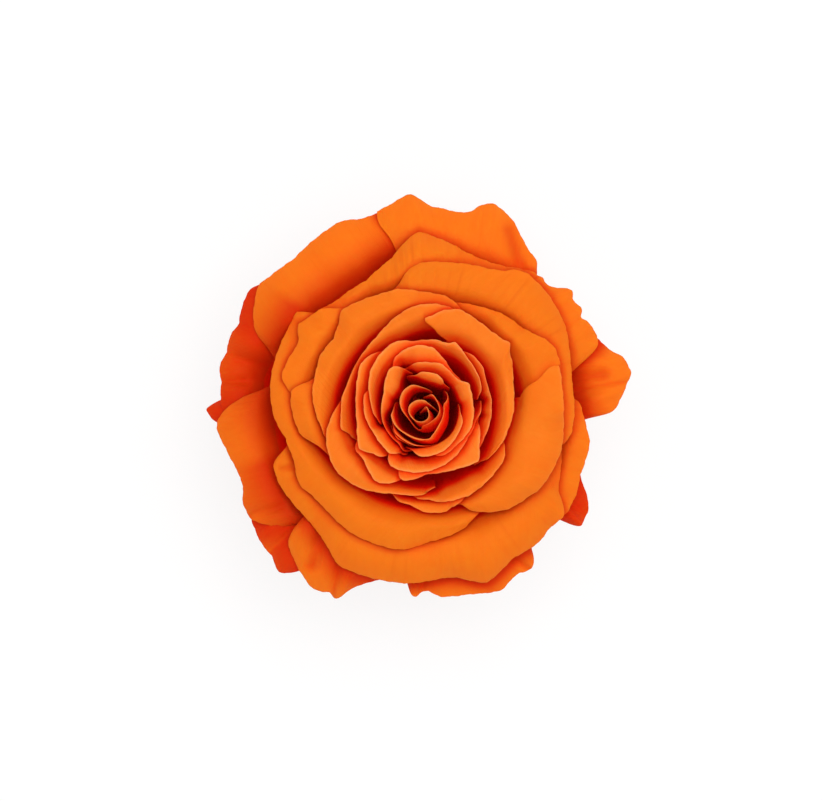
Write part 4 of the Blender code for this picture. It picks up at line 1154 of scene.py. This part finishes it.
# Each sepal is a little different: its lobes and its sway step on by these angles.
LOBE_DEPTH, LOBE_RATE, LOBE_STEP = 0.05, 17.0, 2.0
SWAY, SWAY_STEP = 0.5, 1.7
MIDRIB_HEIGHT, MIDRIB_WIDTH = 0.16, 0.10
VEIN_HEIGHT, VEIN_SLANT, VEIN_COUNT = 0.05, 1.6, 7
EDGE_ROLL, ROLL_UNIT = 0.22, 3.0


def smooth_line(stations, count):
    """Catmull-Rom curve: (2b + (c-a)s + (2a-5b+4c-d)s^2 + (3b-a-3c+d)s^3) / 2 between b and c."""
    given = np.array(stations)
    given = np.concatenate((2 * given[:1] - given[1:2], given, 2 * given[-1:] - given[-2:-1]))
    where = np.linspace(0, len(stations) - 1, count)
    first = np.minimum(where.astype(int), len(stations) - 2)
    s = (where - first)[:, None]
    a, b, c, d = (given[first + step] for step in range(4))
    return (2 * b + (c - a) * s + (2 * a - 5 * b + 4 * c - d) * s**2
            + (3 * b - a - 3 * c + d) * s**3) / 2


def build_sepal(number):
    """One sepal: points across its centre line by side * half width, raised along the line's
    normal by midrib + veins - side^4 roll, and swaying a little to one side."""
    turn = 2 * np.pi * number / SEPAL_COUNT
    radius, height, half = smooth_line(SEPAL_STATIONS, SEPAL_ROWS).T
    side = np.linspace(-1, 1, SEPAL_COLUMNS)[:, None]
    length = np.linspace(0, 1, SEPAL_ROWS)[None, :]
    swell = np.sin(np.pi * length)
    lobes = 1 + LOBE_DEPTH * np.sin(length * LOBE_RATE + LOBE_STEP * number) * swell
    across = side * half * lobes + SWAY * swell * np.sin(SWAY_STEP * number + 1)
    midrib = MIDRIB_HEIGHT * np.exp(-((side / MIDRIB_WIDTH) ** 2)) * (1 - length)
    veins = np.cos(2 * np.pi * (abs(side) * VEIN_SLANT - length * VEIN_COUNT)) * swell
    raised = midrib + VEIN_HEIGHT * veins * abs(side) - EDGE_ROLL * side**4 * half / ROLL_UNIT
    slope = np.arctan2(np.gradient(height), np.gradient(radius))
    out = radius - np.sin(slope) * raised
    points = np.stack((
        out * np.cos(turn) - across * np.sin(turn),
        out * np.sin(turn) + across * np.cos(turn),
        height + np.cos(slope) * raised,
    ), axis=-1)
    thickness = SEPAL_THICKNESS * (1 - TIP_THINNING * length) * (1 - SIDE_THINNING * side**2)
    body, faces, origin = closed_sheet(points, thickness)
    layers = {"across": (side * half).ravel()[origin],
              "up": (length * SEPAL_LENGTH + 0 * side).ravel()[origin]}
    piece = make_mesh(f"dressed_sepal_{number + 1}", body, facing_out(body, faces), layers)
    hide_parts(f"sepal_{number + 1}")
    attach(piece, "root")
    return piece


sepal_pieces = [build_sepal(number) for number in range(SEPAL_COUNT)]
print(f"{len(sepal_pieces)} sepals of {len(sepal_pieces[0].data.polygons)} faces")

# %% [markdown]
# ## Hip and stub
# The hip is the round green body below the sepals, and it ends in the cut stub on which the flower
# stands. A Spin of a drawn profile would do, but the hip has ten soft ribs, its stub has a faint
# bark and its cut face shows fibres, and all of these are small changes of the radius or height
# with the angle. So it is a grid about the axis, whose first and last row are one point each.

# %% Make the hip
HIP_STATIONS = (
    (0.0, 16.0), (1.5, 15.93), (3.0, 15.62), (4.2, 15.11), (5.2, 14.49), (6.2, 13.66), (6.9, 13.0),
    (7.2, 12.0), (6.4, 9.5), (4.8, 7.3), (3.8, 5.5), (3.75, 3.0), (3.8, 0.35), (3.5, 0.02),
    (1.8, 0.0), (0.0, 0.0),
)
HIP_TURNS, HIP_ROWS = 160, 150
RIB_HEIGHT, RIB_COUNT, RIB_MIDDLE, RIB_SPREAD = 0.09, 10, 9.5, 3.0
BARK_HEIGHT, BARK_COUNT, BARK_TOP, BARK_FOOT = 0.03, 31, 7.0, 0.5
FIBRE_HEIGHT, FIBRE_RATE, FIBRE_RAYS, CUT_FACE = 0.05, 9.0, 5, 0.05
# Ribs and bark run out over this radius, so that both ends of the profile stay one point.
POLE_FADE = 1.0


def build_hip():
    """The profile's rings with radius + ribs + bark, and on the cut face height + fibres."""
    radius, height = smooth_line(HIP_STATIONS, HIP_ROWS).T
    radius = np.maximum(radius, 0.0)
    turn = np.linspace(0, 2 * np.pi, HIP_TURNS, endpoint=False)[:, None]
    belt = np.exp(-(((height - RIB_MIDDLE) / RIB_SPREAD) ** 2))
    ribs = RIB_HEIGHT * np.cos(RIB_COUNT * turn) * belt
    bark = BARK_HEIGHT * np.sin(BARK_COUNT * turn) * fading(height, BARK_TOP)
    out = radius + (ribs + bark * rising(height, BARK_FOOT)) * rising(radius, POLE_FADE)
    fibres = FIBRE_HEIGHT * abs(np.sin(radius * FIBRE_RATE)) * (height < CUT_FACE)
    up = height + fibres * np.cos(FIBRE_RAYS * turn) ** 2
    points = np.stack((out * np.cos(turn), out * np.sin(turn), up), axis=-1)
    index = np.arange(HIP_TURNS * HIP_ROWS).reshape(HIP_TURNS, HIP_ROWS)
    index[:, 0], index[:, -1] = index[0, 0], index[0, -1]
    index = np.concatenate((index, index[:1]))
    used, faces = np.unique(grid_faces(index), return_inverse=True)
    body = points.reshape(-1, 3)[used]
    piece = make_mesh("dressed_receptacle", body, facing_out(body, faces.reshape(-1, 4)), {})
    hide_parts("receptacle")
    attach(piece, "root")
    return piece


hip_piece = build_hip()
print(f"{hip_piece.name}: {len(hip_piece.data.polygons)} faces")

# %% [markdown]
# ## Wiring materials with expressions
# A petal's colour is sums and products of masks. Placing Math nodes by hand hides that, so a small
# class wraps a socket and turns operators into nodes. Anything else goes through one method that
# takes a node's type, its settings and its inputs, by a socket's name or number.

# %% A socket that can be added and multiplied
# On a Mix node of colours these sockets are the two colours and the result.
MIX_FIRST, MIX_SECOND, MIX_RESULT = 6, 7, 2
BUMP_DISTANCE = 0.0003


class Wire:
    """A value flowing in a material. Operators on wires and numbers add Math nodes."""

    def __init__(self, tree, socket=None):
        self.tree, self.socket = tree, socket

    def node(self, kind, settings, inputs, output=0):
        """A node by its type, with settings first and then values or wires on its sockets."""
        made = self.tree.nodes.new("ShaderNode" + kind)
        for setting, value in settings.items():
            setattr(made, setting, value)
        self.feed(made, inputs)
        return Wire(self.tree, made.outputs[output])

    def feed(self, node, inputs):
        """Links wires to a node's sockets, or writes plain values on them."""
        for name, value in inputs.items():
            socket = node.inputs[name]
            if isinstance(value, Wire):
                self.tree.links.new(value.socket, socket)
            elif isinstance(value, tuple) and len(socket.default_value) > len(value):
                socket.default_value = (*value, 1.0)
            else:
                socket.default_value = value

    def math(self, operation, *values):
        return self.node("Math", {"operation": operation}, dict(enumerate(values)))

    def __add__(self, other):
        return self.math("ADD", self, other)

    def __sub__(self, other):
        return self.math("SUBTRACT", self, other)

    def __mul__(self, other):
        return self.math("MULTIPLY", self, other)

    def __truediv__(self, other):
        return self.math("DIVIDE", self, other)

    def __pow__(self, other):
        return self.math("POWER", self, other)

    def __rsub__(self, other):
        return self.math("SUBTRACT", other, self)

    def __abs__(self):
        return self.math("ABSOLUTE", self)

    __radd__ = __add__
    __rmul__ = __mul__

    def clamped(self):
        """Kept between 0 and 1."""
        return self.math("MINIMUM", self.math("MAXIMUM", self, 0.0), 1.0)

    def layer(self, name):
        """A number that the mesh keeps on its points."""
        return self.node("Attribute", {"attribute_name": name}, {}, "Fac")

    def noise(self, place, **inputs):
        """A noise read at a place, or at a wire for each of its axes."""
        if isinstance(place, dict):
            place = self.node("CombineXYZ", {}, place)
        return self.node("TexNoise", {}, {"Vector": place, "Scale": 1.0, **inputs})

    def mixed(self, share, first, second):
        """Colour between two colours or wires, by a share from 0 to 1."""
        colours = {0: share, MIX_FIRST: first, MIX_SECOND: second}
        return self.node("Mix", {"data_type": "RGBA"}, colours, MIX_RESULT)

    def bump(self, height, strength):
        """A relief of up to BUMP_DISTANCE metres."""
        inputs = {"Height": height, "Strength": strength, "Distance": BUMP_DISTANCE}
        return self.node("Bump", {}, inputs)


def new_material(name):
    """A material with its shader, and a wire that starts new nodes in its tree."""
    material = bpy.data.materials.new(name)
    material.use_nodes = True
    tree = material.node_tree
    return material, tree.nodes["Principled BSDF"], Wire(tree)


print("shader helpers ready")

# %% [markdown]
# ## The petal's finish
# A preserved petal is matt and velvety. Fine veins run from claw to rim, close together; they are
# a noise stretched along the petal's own up direction, so they bend with its shape. The dye is
# paler and yellower at the thin rim. Deeper red is painted shade: where a petal lies under another,
# in a hollow or a fold's groove, and almost pure red down in the throat. That shade could be left to
# the light alone, but then the hollows lose their red, so the layers made above mix it in. The inner
# petals are a little paler than the outer ones, with a brighter rim and a painted highlight on its
# thin edge.

# %% Petal material
PETAL_ORANGE = (0.88, 0.190, 0.008)
PETAL_HEART = (0.91, 0.220, 0.030)
PETAL_DEEP = (0.85, 0.150, 0.007)
PETAL_RIM = (0.93, 0.220, 0.016)
# A painted highlight on the thin edge of the inner petals.
PETAL_EDGE_HIGHLIGHT = (0.96, 0.290, 0.080)
# Painted shade: deeper red in hollows, a darker painted shadow under covers on the skirt, and the red of
# the throat below the crest.
PETAL_SHADE = (0.92, 0.048, 0.003)
PETAL_PAINTED_SHADOW = (0.60, 0.022, 0.001)
PETAL_THROAT_SHADE = (0.96, 0.014, 0.001)
# How often the patterns change, to a millimetre across the petal and up it.
VEINS_ACROSS, VEINS_UP = 1.7, 0.14
CLOUDS_ACROSS, CLOUDS_UP = 0.22, 0.16
GRAIN_RATE = 5.0
# How much of each tone is mixed in: on every petal, and that much more on the inner ones. Veins
# and clouds are the dye's own, the pale rim too; the cover and hollow amounts are painted shade, and
# the edge's is a painted highlight.
VEIN_SHADE, CLOUD_SHADE, COVER_SHADE = 0.5, 0.9, 0.95
RIM_LIGHT, INNER_RIM_LIGHT, INNER_EDGE_HIGHLIGHT = 0.15, 0.4, 0.7
HOLLOW_SHADE, INNER_HOLLOW_SHADE = 0.4, 0.4
# Widths of the pale rim and of its painted edge highlight, and how far below the crest the painted
# throat shade starts.
RIM_WIDTH, EDGE_WIDTH, THROAT_DEPTH = 1.6, 0.4, 1.2
VELVET, VELVET_GRAIN = 0.62, 0.12
VEIN_RELIEF, GRAIN_RELIEF = 0.7, 0.25
# Light goes this far inside a petal, by colour, times the scale in metres.
GLOW_SHARE, GLOW_REACH, GLOW_SCALE = 0.35, (1.0, 0.15, 0.03), 0.0008


def petal_material():
    """Orange with veins, then the pale rim, a painted edge highlight and painted shade in hollows,
    under covers and in the throat, mixed over it in that order.
    """
    material, shader, start = new_material("petal_velvet_orange")
    across, up, from_rim, below, covered, hollow, inner = (start.layer(name) for name in (
        "across", "up", "from_rim", "below", "covered", "hollow", "inner"))
    veins = start.noise({"X": across * VEINS_ACROSS, "Y": up * VEINS_UP}, Detail=3.0, Roughness=0.6)
    clouds = start.noise({"X": across * CLOUDS_ACROSS, "Y": up * CLOUDS_UP}, Detail=2.0)
    grain = start.noise({"X": across * GRAIN_RATE, "Y": up * GRAIN_RATE}, Detail=2.0)
    shade = ((veins - 0.5) * VEIN_SHADE + (clouds - 0.5) * CLOUD_SHADE + 0.5).clamped()
    rim = (1 - from_rim / RIM_WIDTH).clamped() ** 2.0
    edge = (1 - from_rim / EDGE_WIDTH).clamped()
    colour = start.mixed(shade, PETAL_DEEP, start.mixed(inner, PETAL_ORANGE, PETAL_HEART))
    colour = start.mixed(rim * (RIM_LIGHT + inner * INNER_RIM_LIGHT), colour, PETAL_RIM)
    # A painted highlight on the thin edge of the inner petals.
    colour = start.mixed(edge * (inner * INNER_EDGE_HIGHLIGHT), colour, PETAL_EDGE_HIGHLIGHT)
    # Painted shade: deeper red in hollows, a darker painted shadow under covers on the skirt, and red in
    # the throat below the crest.
    hollow = hollow * (HOLLOW_SHADE + inner * INNER_HOLLOW_SHADE)
    colour = start.mixed(hollow, colour, PETAL_SHADE)
    painted_shadow = start.mixed(inner, PETAL_PAINTED_SHADOW, PETAL_SHADE)
    colour = start.mixed(covered * COVER_SHADE, colour, painted_shadow)
    colour = start.mixed((below / THROAT_DEPTH).clamped(), colour, PETAL_THROAT_SHADE)
    start.feed(shader, {
        "Base Color": colour,
        "Roughness": VELVET + (grain - 0.5) * VELVET_GRAIN,
        "Specular IOR Level": 0.04,
        "Subsurface Weight": GLOW_SHARE,
        "Subsurface Radius": GLOW_REACH,
        "Subsurface Scale": GLOW_SCALE,
        "Normal": start.bump(veins * VEIN_RELIEF + grain * GRAIN_RELIEF, strength=0.4),
    })
    return material


petal_finish = petal_material()
for piece in petal_pieces:
    piece.data.materials.append(petal_finish)
print(f"{petal_finish.name}: {len(petal_finish.node_tree.nodes)} nodes")

# %% [markdown]
# ## The green parts
# Preserved sepals dry to a dull olive with darker mottling and a paler midrib. The hip is the same
# olive with stripes up its sides, and the cut end of the stub is pale and woody. The top of the
# hip lies in the throat and is painted with the throat's red shade. Bands at a height read the
# hip's own coordinates.

# %% Sepal and hip materials
SEPAL_OLIVE = (0.150, 0.150, 0.045)
SEPAL_DARK = (0.085, 0.095, 0.028)
SEPAL_PALE = (0.26, 0.24, 0.10)
STUB_WOOD = (0.42, 0.33, 0.18)
MIDRIB_HALF, MIDRIB_LIGHT = 0.35, 0.6
MOTTLE_ACROSS, MOTTLE_UP = 1.4, 0.5
# Heights in metres, with the length over which one colour gives way to the next.
CROWN_HEIGHT, BAND_BLEND = 0.0149, 0.0004
# Patterns on the hip, to a metre: even mottling, and stripes drawn out along its height.
MOTTLE_RATE, STRIPE_RATES = 700.0, (1600.0, 1600.0, 120.0)
MOTTLE_SHARE, STRIPE_SHARE = 0.6, 0.4


def sepal_material():
    """Two olives by a noise, with a pale midrib over them."""
    material, shader, start = new_material("sepal_dull_olive")
    across, up = start.layer("across"), start.layer("up")
    mottle = start.noise({"X": across * MOTTLE_ACROSS, "Y": up * MOTTLE_UP}, Detail=4.0)
    midrib = (1 - abs(across) / MIDRIB_HALF).clamped()
    colour = start.mixed(mottle, SEPAL_DARK, SEPAL_OLIVE)
    start.feed(shader, {
        "Base Color": start.mixed(midrib * MIDRIB_LIGHT, colour, SEPAL_PALE),
        "Roughness": 0.72,
        "Specular IOR Level": 0.25,
        "Normal": start.bump(mottle, strength=0.3),
    })
    return material


def hip_material():
    """Two olives by mottling and stripes, wood on the cut face and the throat's painted red shade
    on the crown.
    """
    material, shader, start = new_material("hip_olive_and_wood")
    position = start.node("TexCoord", {}, {}, "Object")
    height = start.node("SeparateXYZ", {}, {"Vector": position}, "Z")
    mottle = start.noise(position, Detail=4.0, Scale=MOTTLE_RATE)
    drawn_out = start.node("VectorMath", {"operation": "MULTIPLY"}, {0: position, 1: STRIPE_RATES})
    stripes = start.noise(drawn_out, Detail=3.0)
    patches = mottle * MOTTLE_SHARE + stripes * STRIPE_SHARE
    colour = start.mixed(patches, SEPAL_DARK, SEPAL_OLIVE)
    colour = start.mixed((1 - height / BAND_BLEND).clamped(), colour, STUB_WOOD)
    # The crown lies in the throat and gets painted red shade.
    crown_shade = ((height - CROWN_HEIGHT) / BAND_BLEND).clamped()
    start.feed(shader, {
        "Base Color": start.mixed(crown_shade, colour, PETAL_THROAT_SHADE),
        "Roughness": 0.7,
        "Specular IOR Level": 0.25,
        "Normal": start.bump(stripes, strength=0.35),
    })
    return material


sepal_finish, hip_finish = sepal_material(), hip_material()
for piece in sepal_pieces:
    piece.data.materials.append(sepal_finish)
hip_piece.data.materials.append(hip_finish)
print(f"{sepal_finish.name} and {hip_finish.name}")

# %% [markdown]
# ## Floor
# The flower stands on a plain white floor that keeps its shadow. Under a light that suits the bloom
# such a floor comes out grey, and more light would wash out the petals. So the floor glows a little
# instead, for the camera and for mirrored or clear things alone: outside the shadow it comes out
# white, and it adds no light to the flower.

# %% Floor
# Metres from the floor's middle to its sides, and how far it lies below the stub's cut face.
FLOOR_HALF, FLOOR_DROP = 3, 0.0002
FLOOR_PALE, FLOOR_GLOW = (0.93, 0.93, 0.93), 0.8


def make_floor():
    """A square sheet just under the stub, whose shader mixes a matt white with a glow."""
    corners = [(x * FLOOR_HALF, y * FLOOR_HALF, 0) for x, y in ((-1, -1), (1, -1), (1, 1), (-1, 1))]
    mesh = bpy.data.meshes.new("floor")
    mesh.from_pydata(corners, [], [(0, 1, 2, 3)])
    floor = bpy.data.objects.new("floor", mesh)
    floor.location.z = -FLOOR_DROP
    bpy.context.scene.collection.objects.link(floor)
    material, shader, start = new_material("floor_white")
    start.feed(shader, {"Base Color": FLOOR_PALE, "Roughness": 0.9, "Specular IOR Level": 0.0})
    matt = Wire(start.tree, shader.outputs[0])
    glow = start.node("Emission", {}, {"Color": (1.0, 1.0, 1.0), "Strength": 1.0})
    rays = start.node("LightPath", {}, {}).socket.node.outputs
    seen = sum(Wire(start.tree, rays[name]) for name in (
        "Is Camera Ray", "Is Glossy Ray", "Is Transmission Ray"))
    both = start.node("MixShader", {}, {0: seen * FLOOR_GLOW, 1: matt, 2: glow})
    start.feed(start.tree.nodes["Material Output"], {"Surface": both})
    mesh.materials.append(material)
    return floor


floor = make_floor()
print(f"{floor.name}, {2 * FLOOR_HALF} m square")

# %% [markdown]
# ## Light
# Soft light shows the ruffles and keeps the shadows faint. A broad lamp hangs nearly overhead, a
# little to the upper right, so the rims cast short shadows to the lower left, and a white sky fills
# them. A lamp alone would leave the hollows black, and a sky alone would leave the bloom flat.

# %% Light
# Metres along the lamp's side and from it to the flower, and its height as an angle.
LAMP_WATTS, LAMP_SIZE, LAMP_FAR = 4.2, 0.5, 0.9
LAMP_HEIGHT, LAMP_BEARING = math.radians(80), math.radians(50)
SKY = 0.72


def make_light():
    """A square lamp at a distance, a height angle and a bearing, turned to the flower's foot."""
    lamp = bpy.data.lights.new("key", "AREA")
    lamp.shape = "SQUARE"
    lamp.size = LAMP_SIZE
    lamp.energy = LAMP_WATTS
    key = bpy.data.objects.new("key", lamp)
    bpy.context.scene.collection.objects.link(key)
    aside = LAMP_FAR * math.cos(LAMP_HEIGHT)
    key.location = (aside * math.cos(LAMP_BEARING), aside * math.sin(LAMP_BEARING),
                    LAMP_FAR * math.sin(LAMP_HEIGHT))
    key.rotation_euler = (math.pi / 2 - LAMP_HEIGHT, 0.0, LAMP_BEARING + math.pi / 2)
    sky = bpy.data.worlds.new("sky")
    sky.use_nodes = True
    background = sky.node_tree.nodes["Background"].inputs
    background["Color"].default_value = (1.0, 1.0, 1.0, 1.0)
    background["Strength"].default_value = SKY
    bpy.context.scene.world = sky
    return lamp


lamp = make_light()
print(f"a lamp of {lamp.energy:.1f} W and a sky of {SKY}")

# %% [markdown]
# ## Camera
# A bloom like this is shown from straight above. A long lens far away shows it nearly without
# perspective, so the skirt isn't made smaller than the heart. The flower's eye lies a little to
# the right of the frame's middle and below it.

# %% Camera
# Lens and sensor in millimetres, and in metres how wide the view is at the petals' height.
CAMERA_LENS, SENSOR_WIDTH, FRAME_WIDTH = 300.0, 36.0, 0.1203
PETAL_HEIGHT = 0.031
EYE_RIGHT, EYE_DOWN = 0.00154, 0.00183


def make_camera():
    """Looking down from FRAME_WIDTH * lens / sensor width above the petals' height."""
    data = bpy.data.cameras.new("camera")
    data.lens, data.sensor_width = CAMERA_LENS, SENSOR_WIDTH
    data.clip_start, data.clip_end = 0.01, 10.0
    camera = bpy.data.objects.new("camera", data)
    bpy.context.scene.collection.objects.link(camera)
    distance = FRAME_WIDTH * CAMERA_LENS / SENSOR_WIDTH
    camera.location = (AXIS_X - EYE_RIGHT, AXIS_Y + EYE_DOWN, PETAL_HEIGHT + distance)
    bpy.context.scene.camera = camera
    bpy.context.scene.view_settings.view_transform = "Standard"
    return distance


camera_distance = make_camera()
print(f"camera {camera_distance:.2f} m above the petals")
